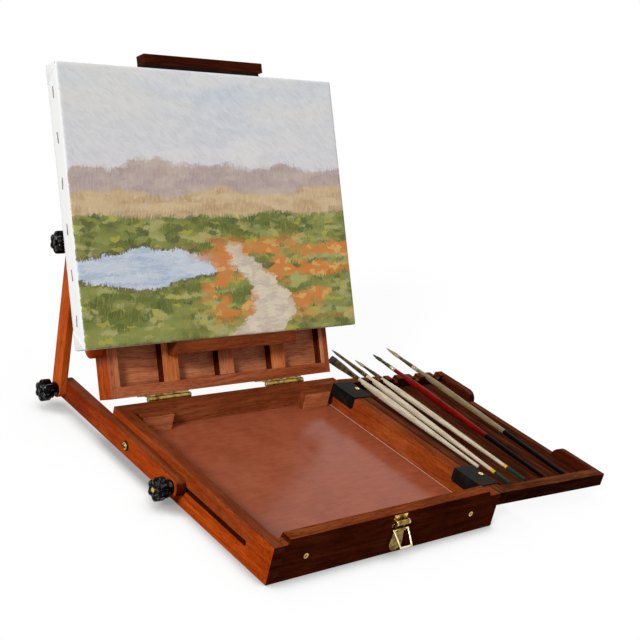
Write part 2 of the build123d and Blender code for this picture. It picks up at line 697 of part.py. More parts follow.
def mast():
    """Centre batten that slides up the lid and carries the upper clamp."""
    return lid_block(MAST_X, MAST_X + MAST_W, LID_FOOT + MAST_GAP, TOP_CLAMP_U + TOP_CLAMP_H,
                     -LID_RECESS + MAST_GAP, 0)


# ---------------------------------------------------------------- canvas
def canvas_block(x0, x1, u0, u1, w0, w1):
    """A box in canvas terms: from its left edge, its lower edge and its back."""
    return lid_block(CANVAS_X + x0, CANVAS_X + x1, CANVAS_U + u0, CANVAS_U + u1,
                     CANVAS_BACK + w0, CANVAS_BACK + w1)


def stretcher_bars():
    """Four bars that meet at the corners, inside the cloth."""
    c = CLOTH_T
    x1 = CANVAS_W - c
    u1 = CANVAS_L - c
    t = CANVAS_T - c
    s = STRETCHER_W
    low = canvas_block(c + s, x1 - s, c, c + s, c, t)
    high = canvas_block(c + s, x1 - s, u1 - s, u1, c, t)
    left = canvas_block(c, c + s, c, u1, c, t)
    right = canvas_block(x1 - s, x1, c, u1, c, t)
    return [low, high, left, right]


def canvas_cloth():
    """Cloth over the front and sides of the bars, turned over at the back."""
    c = CLOTH_T
    turn = CLOTH_TURN
    cloth = canvas_block(0, CANVAS_W, 0, CANVAS_L, 0, CANVAS_T)
    cloth -= canvas_block(c, CANVAS_W - c, c, CANVAS_L - c, c, CANVAS_T - c)
    return cloth - canvas_block(turn, CANVAS_W - turn, turn, CANVAS_L - turn, -1, c + 0.5)


def canvas_staples():
    """Staples in the middle of the canvas's left and right edges."""
    staples = []
    count = int(CANVAS_L / STAPLE_PITCH)
    first = (CANVAS_L - (count - 1) * STAPLE_PITCH) / 2
    mid = CANVAS_T / 2
    for i in range(count):
        u0 = first + i * STAPLE_PITCH - STAPLE_L / 2
        for x0 in (-STAPLE_T, CANVAS_W):
            staples.append(canvas_block(x0, x0 + STAPLE_T, u0, u0 + STAPLE_L,
                                        mid - STAPLE_T / 2, mid + STAPLE_T / 2))
    return staples


# ---------------------------------------------------------------- brush tray
def side_floor():
    """Thin bottom of the brush tray."""
    return block(SIDE_LEFT_W, FLOOR_IN_X, SIDE_FRONT_W, SIDE_D - SIDE_BACK_W, 0, SIDE_FLOOR_T)


def side_left_rail():
    """Rail beside the box, which the hooks are screwed to."""
    rail = block(0, SIDE_LEFT_W, 0, SIDE_D, 0, SIDE_H)
    for y in HOOK_Y:
        rail -= pilot_z(SIDE_LEFT_W / 2, y + HOOK_L / 2, SIDE_H - SCREW_L, SIDE_H + 1)
    return rail


def side_right_rail():
    """Outer rail, cut down between two round shoulders for the painter's hand."""
    y0 = DIP_FRONT
    y1 = SIDE_D - DIP_BACK
    z = SIDE_H - DIP_R
    rail = block(FLOOR_IN_X, SIDE_W, SIDE_FRONT_W, SIDE_D - SIDE_BACK_W, 0, SIDE_H)
    rail -= block(FLOOR_IN_X - 1, SIDE_W + 1, y0 + DIP_R, y1 - DIP_R, z, SIDE_H + 1)
    for y, inward in ((y0, 1), (y1, -1)):
        corner = block(FLOOR_IN_X - 1, SIDE_W + 1, min(y, y + inward * DIP_R),
                       max(y, y + inward * DIP_R), z, SIDE_H + 1)
        rail -= corner - rod_x(FLOOR_IN_X - 2, SIDE_W + 2, y, z, DIP_R)
    return rail


def notch_xs():
    """Centres of the brush notches."""
    return [NOTCH_X0 + i * NOTCH_PITCH for i in range(NOTCH_COUNT)]


def side_back_rail():
    """Rear rail with half-round notches where the brushes lie."""
    y0 = SIDE_D - SIDE_BACK_W
    rail = block(SIDE_LEFT_W, SIDE_W, y0, SIDE_D, 0, SIDE_H)
    for x in notch_xs():
        rail -= rod_y(x, y0 - 1, SIDE_D + 1, SIDE_H, NOTCH_R)
    return rail


def side_hook(y0):
    """Bent plate that hangs the brush tray over the box's right wall."""
    top = SIDE_H + HOOK_T
    x_in = -SIDE_GAP - WALL - HOOK_WALL_GAP
    plate = block(x_in - HOOK_T, HOOK_REACH, y0, y0 + HOOK_L, SIDE_H, top)
    plate += block(x_in - HOOK_T, x_in, y0, y0 + HOOK_L, top - HOOK_DROP, top)
    z = top - HOOK_DROP + HOOK_CORNER_R
    for y, inward in ((y0, 1), (y0 + HOOK_L, -1)):
        turn_y = y + inward * HOOK_CORNER_R
        corner = block(x_in - HOOK_T - 1, x_in + 1, min(y, turn_y), max(y, turn_y),
                       z - HOOK_CORNER_R - 1, z)
        plate -= corner - rod_x(x_in - HOOK_T - 2, x_in + 2, turn_y, z, HOOK_CORNER_R)
    return plate - pilot_z(SIDE_LEFT_W / 2, y0 + HOOK_L / 2, SIDE_H - 1, top + 1)


# ---------------------------------------------------------------- brushes
class Brush:
    """One brush: its notch, its butt, the sizes of its three pieces and its turn."""

    def __init__(self, notch, butt, lengths, radii, tip, turn=0):
        self.notch = notch
        self.butt_x, self.butt_y = butt
        self.handle_l, self.ferrule_l, self.hair_l = lengths
        self.butt_r, self.swell_r, self.neck_r = radii
        self.tip_w, self.tip_t = tip
        self.turn = turn

    def radius_at(self, along):
        """Handle radius: it swells from the butt, then narrows to the ferrule."""
        swell_at = self.handle_l - SWELL_BACK
        low, high, share = self.butt_r, self.swell_r, along / swell_at
        if along > swell_at:
            low, high, share = self.swell_r, self.neck_r, min((along - swell_at) / SWELL_BACK, 1)
        return low + (high - low) * share ** 2 * (3 - 2 * share)

    def rest_height(self):
        """Axis height where the handle lies in its notch."""
        along = SIDE_D - SIDE_BACK_W / 2 - self.butt_y
        radius = max(self.radius_at(along - SIDE_BACK_W), self.radius_at(along + SIDE_BACK_W))
        return SIDE_H - NOTCH_R + LAYER_GAP + radius

    def placed(self, shape):
        """Lay a shape drawn along Z from the butt into the drooped tray."""
        start = Vector(self.butt_x, self.butt_y, SIDE_FLOOR_T + LAYER_GAP + self.butt_r + 0.8)
        end = Vector(NOTCH_X0 + self.notch * NOTCH_PITCH, SIDE_D - SIDE_BACK_W / 2,
                     self.rest_height() + 0.1)
        lying = Plane(origin=start, x_dir=(1, 0, 0), z_dir=end - start)
        return drooped(lying * Rot(0, 0, self.turn) * shape)

    def pieces(self):
        """Handle, ferrule and hair as three solids."""
        length = self.handle_l
        side = Spline((self.butt_r, 1.5),
                      *[(self.radius_at(length * share), length * share) for share in HANDLE_STATIONS],
                      (self.neck_r, length))
        outline = side + Line((self.neck_r, length), (0, length)) + Line((0, length), (0, 0))
        outline += Line((0, 0), (self.butt_r * 0.6, 0)) + Line((self.butt_r * 0.6, 0), (self.butt_r, 1.5))
        handle = revolve(Plane.XZ * make_face(outline), Axis.Z)
        mid = length + self.ferrule_l
        ferrule = loft([Plane.XY.offset(length) * Ellipse(self.neck_r, self.neck_r),
                        Plane.XY.offset(mid) * Ellipse(self.tip_w, self.tip_t)])
        hair = loft([Plane.XY.offset(mid) * Ellipse(self.tip_w * 0.94, self.tip_t * 0.94),
                     Plane.XY.offset(mid + self.hair_l * 0.6) * Ellipse(self.tip_w, self.tip_t * 0.8),
                     Plane.XY.offset(mid + self.hair_l) * Ellipse(self.tip_w * 0.8, self.tip_t * 0.3)])
        return [self.placed(piece) for piece in (handle, ferrule, hair)]


BRUSHES = {
    "brush_flat_cream": Brush(0, (35.0, 61.0), (198.0, 42.0, 11.5), (1.8, 4.1, 2.8), (4.6, 1.6), -55),
    "brush_round_cream": Brush(1, (43.7, 23.3), (242.0, 50.0, 19.5), (1.8, 3.7, 2.5), (1.9, 1.8)),
    "brush_filbert_cream": Brush(2, (70.7, 24.7), (233.5, 30.0, 18.5), (1.8, 3.3, 2.2), (2.2, 1.3)),
    "brush_flat_red": Brush(4, (101.7, 25.3), (248.0, 24.0, 18.0), (2.1, 3.9, 2.4), (2.6, 1.6)),
    "brush_filbert_tan": Brush(6, (135.3, 24.0), (247.0, 32.0, 27.0), (2.2, 3.7, 2.5), (2.8, 1.6)),
}


# ---------------------------------------------------------------- assembly
def add(name, shape, place=None):
    """Keep a solid, or a list of solids, as one named part."""
    solids = shape if isinstance(shape, list) else [shape]
    if place is not None:
        solids = [place(solid) for solid in solids]
    moved = [Pos(-BOX_W / 2, -BOX_D / 2, 0) * solid for solid in solids]
    parts[name] = moved[0] if len(moved) == 1 else Compound(children=moved)


def add_tray():
    """Boards, bottom, palette and fittings of the tray."""
    add("tray_front", tray_front())
    add("tray_back", tray_back())
    add("tray_left", tray_left())
    add("tray_right", tray_side(RIGHT_IN))
    add("tray_base", tray_base())
    add("tripod_nut", tripod_nut())
    add("palette_cleats", palette_cleats())
    add("rear_blocks", [rear_block(x) for x in BLOCK_X])
    add("palette_board", palette_sheet(PALETTE_Z, PALETTE_Z + PALETTE_T))
    add("palette_glass", palette_sheet(PALETTE_Z + PALETTE_T, PALETTE_TOP))
    add("front_screws", [screw_y(x, FRONT_SCREW_Z, 0, -1) for x in FRONT_SCREW_X])
    add("tray_hinge_leaves", [hinge_leaf(x, TRAY_KNUCKLES, -1) for x in LEAF_X])
    add("hinge_pins", [rod_x(x, x + LEAF_L, PIN_Y, PIN_Z, PIN_R) for x in LEAF_X])
    latch_screws = [screw_y(x, LATCH_SCREW_Z, -LATCH_PLATE_T, -1, LATCH_SCREW_R) for x in LATCH_SCREW_X]
    add("tray_screws", hinge_screws(-1) + latch_screws)


def add_latch():
    """Draw latch on the front wall."""
    add("latch_plate", latch_plate())
    add("latch_pin", rod_x(LATCH_X - LATCH_PLATE_W / 2, LATCH_X + LATCH_PLATE_W / 2,
                           -LATCH_PIN_OUT, LATCH_PIN_Z, LATCH_PIN_R))
    add("latch_lever", latch_lever())
    add("latch_bail", latch_bail())


def add_linkage():
    """Sliding rail, strut and their knobs."""
    knob_seat = STRUT_X - STRUT_T - LAYER_GAP
    add("side_rail", side_rail())
    add("rail_clamp_bolt", clamp_bolt())
    add("rail_guide_screw", guide_screw())
    add("slide_washers", slide_washers())
    add("strut_pivot_bolt", pivot_bolt())
    add("rail_knob", star_knob(RAIL_X - LAYER_GAP, RAIL_KNOB_Y, RAIL_Z))
    add("strut", strut())
    add("strut_top_bolt", strut_top_bolt())
    add("strut_lower_knob", star_knob(knob_seat, STRUT_PIVOT_Y, RAIL_Z))
    add("strut_upper_knob", star_knob(knob_seat, STRUT_TOP_Y, STRUT_TOP_Z))


def add_lid():
    """Lid frame, panels, clamps and the mast, drawn shut and then opened."""
    add("lid_left", lid_side(0), opened)
    add("lid_right", lid_side(BOX_W - LID_BOARD), opened)
    add("lid_foot", lid_foot(), opened)
    add("lid_top", lid_top(), opened)
    add("lid_liners", lid_liners(), opened)
    add("lid_inner_panel", lid_panel(-LID_RECESS - INNER_PANEL_T, -LID_RECESS), opened)
    add("lid_outer_panel", lid_panel(-LID_DEPTH, -LID_RECESS - INNER_PANEL_T), opened)
    add("lid_pads", lid_pads(), opened)
    add("mast_guides", mast_guides(), opened)
    add("lid_bar", lid_bar(), opened)
    add("lid_hinge_leaves", [hinge_leaf(x, LID_KNUCKLES, 1) for x in LEAF_X], opened)
    add("lid_screws", hinge_screws(1), opened)
    add("latch_strike", latch_strike(), opened)
    low_x = LID_MID + LOW_CLAMP_SHIFT - LOW_CLAMP_W / 2
    top_x = LID_MID + TOP_CLAMP_SHIFT - TOP_CLAMP_W / 2
    add("lower_clamp", lid_block(low_x, low_x + LOW_CLAMP_W, LOW_CLAMP_U,
                                 LOW_CLAMP_U + LOW_CLAMP_H, 0, LOW_CLAMP_OUT), opened)
    add("mast", mast(), opened)
    add("upper_clamp", lid_block(top_x, top_x + TOP_CLAMP_W, TOP_CLAMP_U,
                                 TOP_CLAMP_U + TOP_CLAMP_H, 0, TOP_CLAMP_OUT), opened)
    add("clamp_grip", lid_block(top_x, top_x + GRIP_L, GRIP_U, GRIP_U + GRIP_T, 0, TOP_CLAMP_OUT),
        opened)


def add_canvas():
    """Stretched canvas that the clamps hold."""
    add("stretcher_bars", stretcher_bars(), opened)
    add("canvas_cloth", canvas_cloth(), opened)
    add("canvas_staples", canvas_staples(), opened)


def add_side_tray():
    """Brush tray, its hooks and the brushes."""
    add("side_tray_floor", side_floor(), drooped)
    add("side_tray_left_rail", side_left_rail(), drooped)
    add("side_tray_front_rail", block(SIDE_LEFT_W, SIDE_W, 0, SIDE_FRONT_W, 0, SIDE_H), drooped)
    add("side_tray_right_rail", side_right_rail(), drooped)
    add("side_tray_back_rail", side_back_rail(), drooped)
    add("side_tray_hooks", [side_hook(y) for y in HOOK_Y], drooped)
    add("hook_screws", [screw_z(SIDE_LEFT_W / 2, y + HOOK_L / 2, SIDE_H + HOOK_T) for y in HOOK_Y], drooped)
    for name, brush in BRUSHES.items():
        add(name, brush.pieces())


add_tray()
add_latch()
add_linkage()
add_lid()
add_canvas()
add_side_tray()
os.makedirs("parts", exist_ok=True)
for name, shape in parts.items():
    export_step(shape, f"parts/{name}.step")
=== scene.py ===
import json
from math import cos, pi, radians, sin

import bpy
from mathutils import Matrix, Vector


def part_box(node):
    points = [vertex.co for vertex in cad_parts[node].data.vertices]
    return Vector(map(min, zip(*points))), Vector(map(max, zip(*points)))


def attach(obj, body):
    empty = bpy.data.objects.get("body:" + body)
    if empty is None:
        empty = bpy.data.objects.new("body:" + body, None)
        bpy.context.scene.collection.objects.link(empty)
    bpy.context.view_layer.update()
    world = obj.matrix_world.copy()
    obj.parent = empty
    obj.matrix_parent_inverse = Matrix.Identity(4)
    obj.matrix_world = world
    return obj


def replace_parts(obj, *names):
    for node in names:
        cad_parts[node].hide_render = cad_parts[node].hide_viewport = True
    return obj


# Finishes, fittings, painting and brushes of a pochade box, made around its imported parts.
# Metres, in the parts' own frame. Sizes that a maker would say in millimetres are written
# with MM.

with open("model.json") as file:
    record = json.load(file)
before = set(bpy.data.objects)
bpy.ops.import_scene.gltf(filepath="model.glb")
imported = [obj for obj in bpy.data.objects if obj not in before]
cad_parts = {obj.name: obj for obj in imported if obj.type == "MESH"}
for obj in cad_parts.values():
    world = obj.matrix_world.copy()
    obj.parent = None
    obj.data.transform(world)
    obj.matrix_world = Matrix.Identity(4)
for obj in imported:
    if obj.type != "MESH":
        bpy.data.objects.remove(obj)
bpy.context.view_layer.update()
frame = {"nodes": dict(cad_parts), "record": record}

MM = 0.001


# ---------------------------------------------------------------- shader maths
def srgb(red, green, blue):
    """A colour given in 0 to 255 steps, as the linear colour that a socket takes."""
    linear = []
    for step in (red, green, blue):
        share = step / 255
        linear.append(share / 12.92 if share <= 0.04045 else ((share + 0.055) / 1.055) ** 2.4)
    return (*linear, 1.0)


class Value:
    """One output of a finish's nodes, which can be used in sums."""

    def __init__(self, finish, socket):
        self.finish = finish
        self.socket = socket

    def __add__(self, other):
        return self.finish.math("ADD", self, other)

    def __sub__(self, other):
        return self.finish.math("SUBTRACT", self, other)

    def __rsub__(self, other):
        return self.finish.math("SUBTRACT", other, self)

    def __mul__(self, other):
        return self.finish.math("MULTIPLY", self, other)

    __radd__ = __add__
    __rmul__ = __mul__


class Finish:
    """A material that is being mixed: its nodes, and the shader that shows on the surface."""

    def __init__(self, name, roughness=0.5, metallic=0.0, coat=0.0, coat_roughness=0.05,
                 specular=0.5):
        self.material = bpy.data.materials.new(name)
        self.material.use_nodes = True
        self.tree = self.material.node_tree
        self.shader = self.tree.nodes["Principled BSDF"]
        self.set("Roughness", roughness)
        self.set("Metallic", metallic)
        self.set("Coat Weight", coat)
        self.set("Coat Roughness", coat_roughness)
        self.set("Specular IOR Level", specular)
        self.place = self.node("ShaderNodeTexCoord", output="Object")

    def feed(self, socket, value):
        if isinstance(value, Value):
            self.tree.links.new(value.socket, socket)
        else:
            socket.default_value = value

    def set(self, name, value):
        self.feed(self.shader.inputs[name], value)

    def node(self, kind, settings=None, inputs=None, output=0):
        """Add a node, set it, feed its sockets and give one of its outputs."""
        added = self.tree.nodes.new(kind)
        for name, value in (settings or {}).items():
            if name == "stops":
                steps = added.color_ramp.elements
                while len(steps) < len(value):
                    steps.new(1.0)
                for step, (position, colour) in zip(steps, value):
                    step.position = position
                    step.color = colour
            else:
                setattr(added, name, value)
        for name, value in (inputs or {}).items():
            self.feed(added.inputs[name], value)
        return Value(self, added.outputs[output])

    def math(self, operation, *values):
        return self.node("ShaderNodeMath", {"operation": operation}, dict(enumerate(values)))

    def along(self, way, origin=(0, 0, 0)):
        """How far a point of the surface lies from the origin along one way."""
        start = -Vector(way).dot(Vector(origin))
        return self.node("ShaderNodeVectorMath", {"operation": "DOT_PRODUCT"},
                         {0: self.place, 1: tuple(way)}, "Value") + start

    def point(self, x, y, z=0.0):
        return self.node("ShaderNodeCombineXYZ", None, {"X": x, "Y": y, "Z": z})

    def noise(self, where, scale=1.0, detail=2.0, roughness=0.5):
        return self.node("ShaderNodeTexNoise", None, {
            "Vector": where, "Scale": scale, "Detail": detail, "Roughness": roughness})

    def ramp(self, value, stops):
        return self.node("ShaderNodeValToRGB", {"stops": stops}, {"Fac": value})

    def step(self, value, low, high):
        """0 below low, 1 above high, and smooth between."""
        return self.node("ShaderNodeMapRange", {"interpolation_type": "SMOOTHSTEP"},
                         {"Value": value, "From Min": low, "From Max": high})

    def mix(self, share, first, second, blend="MIX"):
        """Blend two colours."""
        return self.node("ShaderNodeMix", {"data_type": "RGBA", "blend_type": blend},
                         {0: share, 6: first, 7: second}, 2)

    def bump(self, height, depth, edge=0.0):
        """Raise the surface by height times depth, and round its edges."""
        inputs = {"Height": height, "Distance": depth}
        if edge:
            inputs["Normal"] = self.node("ShaderNodeBevel", {"samples": 4}, {"Radius": edge})
        self.set("Normal", self.node("ShaderNodeBump", None, inputs))


# ---------------------------------------------------------------- directions
ACROSS = Vector((1, 0, 0))
BACK = Vector((0, 1, 0))
UP = Vector((0, 0, 1))

LID_OPEN = radians(118.8)
LID_UP = Vector((0, -cos(LID_OPEN), sin(LID_OPEN)))
LID_OUT = Vector((0, -sin(LID_OPEN), -cos(LID_OPEN)))
LID_EDGE = Vector((0, 137.85, 37.5)) * MM
STRUT_UP = Vector((0, 0.0993, 0.995))
DROOP = radians(2.7)
TRAY_OUT = Vector((cos(DROOP), 0, -sin(DROOP)))
TRAY_UP = Vector((sin(DROOP), 0, cos(DROOP)))
TRAY_CORNER = Vector((146.6, -133.25, 23.8)) * MM


# ---------------------------------------------------------------- wood
def facing(finish, way, low=0.55, high=0.85):
    """1 on the faces of a piece that look one way, 0 on its others."""
    normal = finish.node("ShaderNodeTexCoord", output="Normal")
    level = finish.node("ShaderNodeVectorMath", {"operation": "DOT_PRODUCT"},
                        {0: normal, 1: tuple(way)}, "Value")
    return finish.step(level, low, high)


def shaded(colour, share):
    """A colour brought down to a share of its strength."""
    return (colour[0] * share, colour[1] * share, colour[2] * share, 1.0)


def grain_steps(stain):
    """Where the deep, main and pale tones of a stain lie in the grain."""
    deep, main, pale = stain
    return [(0.33, deep), (0.50, main), (0.68, pale)]


def wood(name, stain, way, roughness=0.34, specular=0.01, figure=0.7, edge=0.7 * MM,
         turned=()):
    """Stained and oiled board whose grain runs one way. Turned lists places that get another
    stain, each with its own stain; most of them are painted light and shade, set by the way a
    face looks."""
    finish = Finish(name, roughness, specular=specular)
    way = Vector(way).normalized()
    side = way.orthogonal().normalized()
    rise = way.cross(side)
    run = finish.along(way)
    left = finish.along(side)
    up = finish.along(rise)
    sway = finish.noise(finish.point(run * 7, left * 16, up * 16), 1.0, 1.0)
    bent = left + sway * 0.02
    lifted = up + sway * 0.016
    streaks = finish.noise(finish.point(run * 9, bent * 190, lifted * 190), 1.0, 4.0, 0.66)
    fibre = finish.noise(finish.point(run * 45, bent * 900, lifted * 900), 1.0, 2.0)
    pores = finish.noise(finish.point(run * 120, bent * 1700, lifted * 1700), 1.0, 0.0)
    clouds = finish.noise(finish.place, 24.0, 3.0)
    streak_share = 0.76 * figure
    fibre_share = 0.26
    cloud_share = 0.28
    even = 0.5 - (streak_share + fibre_share + cloud_share) / 2
    tone = streaks * streak_share + fibre * fibre_share + clouds * cloud_share + even
    colour = finish.ramp(tone, grain_steps(stain))
    for place, other in turned:
        colour = finish.mix(place(finish), colour, finish.ramp(tone, grain_steps(other)))
    pore = finish.step(pores, 0.58, 0.72)
    colour = finish.mix(pore * 0.5, colour, shaded(stain[0], 0.4))
    finish.set("Base Color", colour)
    finish.set("Roughness", fibre * 0.16 + pore * 0.12 + (roughness - 0.08))
    finish.bump(fibre * 0.5 + streaks * 0.4 - pore * 0.5, 0.05 * MM, edge)
    return finish.material


def paint_wood(node, stain, way, **looks):
    """Make a wood and put it on a part."""
    dress(node, wood(node + "_wood", stain, way, **looks))


def dress(node, material):
    """Give a part's own solids a finish."""
    part = frame["nodes"][node]
    for spot in part.material_slots:
        spot.link = "OBJECT"
        spot.material = material


# Stain colours: the deep of the grain, the main tone and the pale streaks. Several serve as
# lighter and darker copies of one wood, as painted light and shade.
AMBER = (srgb(118, 38, 4), srgb(162, 60, 9), srgb(190, 88, 24))
COPPER = (srgb(92, 34, 10), srgb(140, 60, 22), srgb(168, 86, 42))
RUSSET = (srgb(82, 34, 12), srgb(118, 54, 26), srgb(144, 76, 42))
CHESTNUT = (srgb(98, 44, 20), srgb(144, 74, 40), srgb(170, 100, 62))
LIGHT_CHESTNUT = (srgb(120, 58, 32), srgb(178, 98, 62), srgb(200, 126, 88))
MAROON = (srgb(36, 10, 4), srgb(62, 20, 8), srgb(84, 34, 16))
TOBACCO = (srgb(56, 26, 14), srgb(92, 48, 28), srgb(120, 70, 42))
UMBER = (srgb(22, 8, 4), srgb(40, 14, 7), srgb(62, 26, 14))
SMOKE = (srgb(36, 14, 8), srgb(66, 28, 15), srgb(98, 52, 30))
PALE = (srgb(132, 66, 38), srgb(192, 112, 72), srgb(214, 142, 98))
HONEY = (srgb(154, 78, 40), srgb(212, 122, 68), srgb(228, 150, 92))
PALETTE = (srgb(134, 66, 42), srgb(149, 76, 51), srgb(158, 86, 60))
RUST = (srgb(78, 22, 6), srgb(118, 38, 11), srgb(146, 60, 24))
ORANGE = (srgb(140, 54, 12), srgb(182, 78, 24), srgb(206, 104, 40))
PINE = (srgb(188, 148, 98), srgb(216, 182, 134), srgb(232, 206, 164))

TRAY_HALF_W = 146.0 * MM
TRAY_HALF_D = 133.2 * MM
SLOT_SILL = 30.0 * MM


def side(way, beyond=-1.0):
    """Where a piece looks one way, at least so far out that way."""
    return lambda finish: (facing(finish, way)
                           * finish.step(finish.along(way), beyond - 0.4 * MM, beyond))


def slot_inside(finish):
    """Inside the long slot, where little light comes."""
    within = finish.step(finish.along(ACROSS), -TRAY_HALF_W + 0.4 * MM, -TRAY_HALF_W + 1.2 * MM)
    return within * finish.step(finish.along(UP), SLOT_SILL, SLOT_SILL - 1 * MM)


def painted_shade_above_rail(finish):
    """The upper part of the left side's outer face, away from its front corner, where the rail
    runs past it; darkened as painted shade from the rail.
    """
    high = finish.step(finish.along(UP), 17 * MM, 25 * MM)
    behind = finish.step(finish.along(BACK), -118 * MM, -84 * MM)
    return facing(finish, -ACROSS) * high * behind * 0.85


def rear_of_rail(finish):
    """The rail's outer face towards its rear end, where it is redder."""
    return facing(finish, -ACROSS) * finish.step(finish.along(BACK), 20 * MM, 190 * MM) * 0.8


def lid_right_half(finish):
    """The lid's outer face, darker towards its right end as painted shade."""
    return facing(finish, LID_OUT) * finish.step(finish.along(ACROSS), -120 * MM, 130 * MM) * 0.9


# Stains by the way a face looks, as painted light and shade: tops, outer ends and front faces of
# the box, the lid's outer, right and left faces, and the left faces of the lid's strips each get
# the tone that light and shade give them.
TOPS = (side(UP), RUSSET)
TRAY_TOPS = (side(UP), TOBACCO)
OUTER_W = TRAY_HALF_W - 0.5 * MM
OUTER_D = TRAY_HALF_D - 0.5 * MM
ENDS = ((side(-ACROSS, OUTER_W), AMBER), (side(ACROSS, OUTER_W), AMBER))
FRONTS = (side(-BACK, OUTER_D), MAROON)
LID_SIDES = ((side(LID_OUT), LIGHT_CHESTNUT), (lid_right_half, COPPER),
             (side(-ACROSS), AMBER))
IN_SHADE = ((side(-ACROSS), MAROON),)

# Each box board's own stain is also painted light and shade: the front board darkest, the left
# board lightest.
paint_wood("tray_front", MAROON, ACROSS, turned=(TOPS, *ENDS), specular=0.0)
paint_wood("tray_back", CHESTNUT, ACROSS, turned=(TOPS, *ENDS))
paint_wood("tray_left", AMBER, BACK,
           turned=(TOPS, FRONTS, (painted_shade_above_rail, COPPER), (slot_inside, MAROON)))
paint_wood("tray_right", COPPER, BACK, specular=0.0, turned=(TOPS, FRONTS))
paint_wood("tray_base", RUSSET, BACK, roughness=0.5)
paint_wood("palette_cleats", MAROON, BACK)
# The rear blocks' tops and left faces are darker as painted shade.
paint_wood("rear_blocks", PALE, ACROSS, turned=(TOPS, (side(-ACROSS), RUSSET)))
paint_wood("palette_board", PALETTE, ACROSS, figure=0.45)
# The rail's top and front end are darker as painted shade; its outer face is redder towards the
# rear.
paint_wood("side_rail", AMBER, BACK, turned=(TOPS, (rear_of_rail, RUST), (side(-BACK), MAROON)))
paint_wood("strut", ORANGE, STRUT_UP)
# The lid's boards get a lighter outer face, a darker right end and more orange left faces, as
# painted light and shade.
for board, way in (("lid_left", LID_UP), ("lid_right", LID_UP), ("lid_foot", ACROSS),
                   ("lid_top", ACROSS)):
    paint_wood(board, CHESTNUT, way, specular=0.06, turned=LID_SIDES)
paint_wood("lid_liners", PALE, LID_UP, turned=IN_SHADE)
paint_wood("lid_inner_panel", PALE, ACROSS, specular=0.12)
paint_wood("lid_outer_panel", RUSSET, ACROSS)
paint_wood("lid_pads", HONEY, LID_UP, turned=IN_SHADE)
paint_wood("mast_guides", PALE, LID_UP)
paint_wood("mast", PALE, LID_UP, turned=IN_SHADE)
paint_wood("lid_bar", AMBER, LID_UP)
paint_wood("lower_clamp", RUSSET, ACROSS)
paint_wood("upper_clamp", MAROON, ACROSS)
# The brush tray's rails get lighter tops and darker front faces as painted light and shade.
for board, stain, way in (("side_tray_floor", SMOKE, BACK), ("side_tray_left_rail", SMOKE, BACK),
                          ("side_tray_front_rail", UMBER, ACROSS),
                          ("side_tray_right_rail", MAROON, BACK),
                          ("side_tray_back_rail", MAROON, ACROSS)):
    sides = () if board == "side_tray_floor" else (TRAY_TOPS, (side(-BACK), UMBER))
    paint_wood(board, stain, way, specular=0.0, figure=1.0, turned=sides)
paint_wood("stretcher_bars", PINE, ACROSS, roughness=0.6, specular=0.2)


# ---------------------------------------------------------------- other finishes
def metal(name, bright, dull, roughness):
    """Polished metal with faint brushing and a little tarnish."""
    finish = Finish(name, roughness, 1.0)
    marks = finish.noise(finish.place, 2600.0, 2.0)
    stain = finish.noise(finish.place, 190.0, 3.0)
    finish.set("Base Color", finish.mix(finish.step(stain, 0.40, 0.68) * 0.8, bright, dull))
    finish.set("Roughness", marks * 0.16 + stain * 0.2 + (roughness - 0.1))
    finish.bump(marks, 0.01 * MM, 0.25 * MM)
    return finish.material


def screw_brass(name, node, way, sunk):
    """Brass of a screw's head, with painted shade in its cross recess, which lies deeper than
    sunk.
    """
    finish = Finish(name, 0.24, 1.0)
    low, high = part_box(node)
    head = low if sum(way) < 0 else high
    depth = finish.along(-way, head)
    stain = finish.noise(finish.place, 260.0, 2.0)
    colour = finish.mix(finish.step(stain, 0.40, 0.66) * 0.7, srgb(214, 180, 104),
                        srgb(120, 92, 42))
    recess = finish.step(depth, sunk * 0.7, sunk)
    finish.set("Base Color", finish.mix(recess, colour, srgb(34, 24, 10)))
    finish.set("Roughness", stain * 0.2 + recess * 0.3 + 0.12)
    finish.bump(stain, 0.02 * MM)
    return finish.material


def moulded(name, dark, light, roughness, speckle=700.0, depth=0.02 * MM, coat=0.0,
            specular=0.5):
    """Moulded, painted or rubber surface with a fine uneven skin. A coat shines most where
    fingers have rubbed it."""
    finish = Finish(name, roughness, coat=coat, coat_roughness=0.06, specular=specular)
    skin = finish.noise(finish.place, speckle, 3.0)
    wear = finish.noise(finish.place, 85.0, 3.0)
    if coat:
        rubbed = finish.step(finish.noise(finish.place, 330.0, 1.0), 0.50, 0.60)
        finish.set("Coat Weight", rubbed * coat + 0.1)
    finish.set("Base Color", finish.mix(finish.step(wear, 0.42, 0.70), dark, light))
    finish.set("Roughness", wear * 0.25 + (roughness - 0.1))
    finish.bump(skin, depth, 0.3 * MM)
    return finish.material


def clear_sheet():
    """Glossy, opaque finish for the palette's sheet in the tones of the wood below it, with
    faint wipe marks and a painted highlight along its cut edge on the right."""
    finish = Finish("clear_palette_sheet", 0.2, specular=0.075)
    wipes = finish.step(finish.noise(finish.place, 38.0, 4.0, 0.6), 0.36, 0.68)
    grain = finish.noise(finish.point(finish.along(ACROSS) * 40, finish.along(BACK) * 220), 1.0,
                         4.0, 0.7)
    specks = finish.step(finish.noise(finish.place, 420.0, 2.0), 0.60, 0.72)
    # A painted highlight on the top face along the right cut edge.
    right_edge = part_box("palette_glass")[1].x
    glint_edge = finish.step(finish.along(ACROSS), right_edge - 0.9 * MM, right_edge - 0.6 * MM)
    shown = finish.ramp(grain * 0.5 + wipes * 0.14 + 0.18, grain_steps(PALETTE))
    shown = finish.mix(specks * 0.2, shown, PALETTE[0])
    finish.set("Base Color", finish.mix(glint_edge * facing(finish, UP), shown, srgb(236, 190, 176)))
    finish.set("Roughness", wipes * 0.08 + 0.16)
    return finish.material


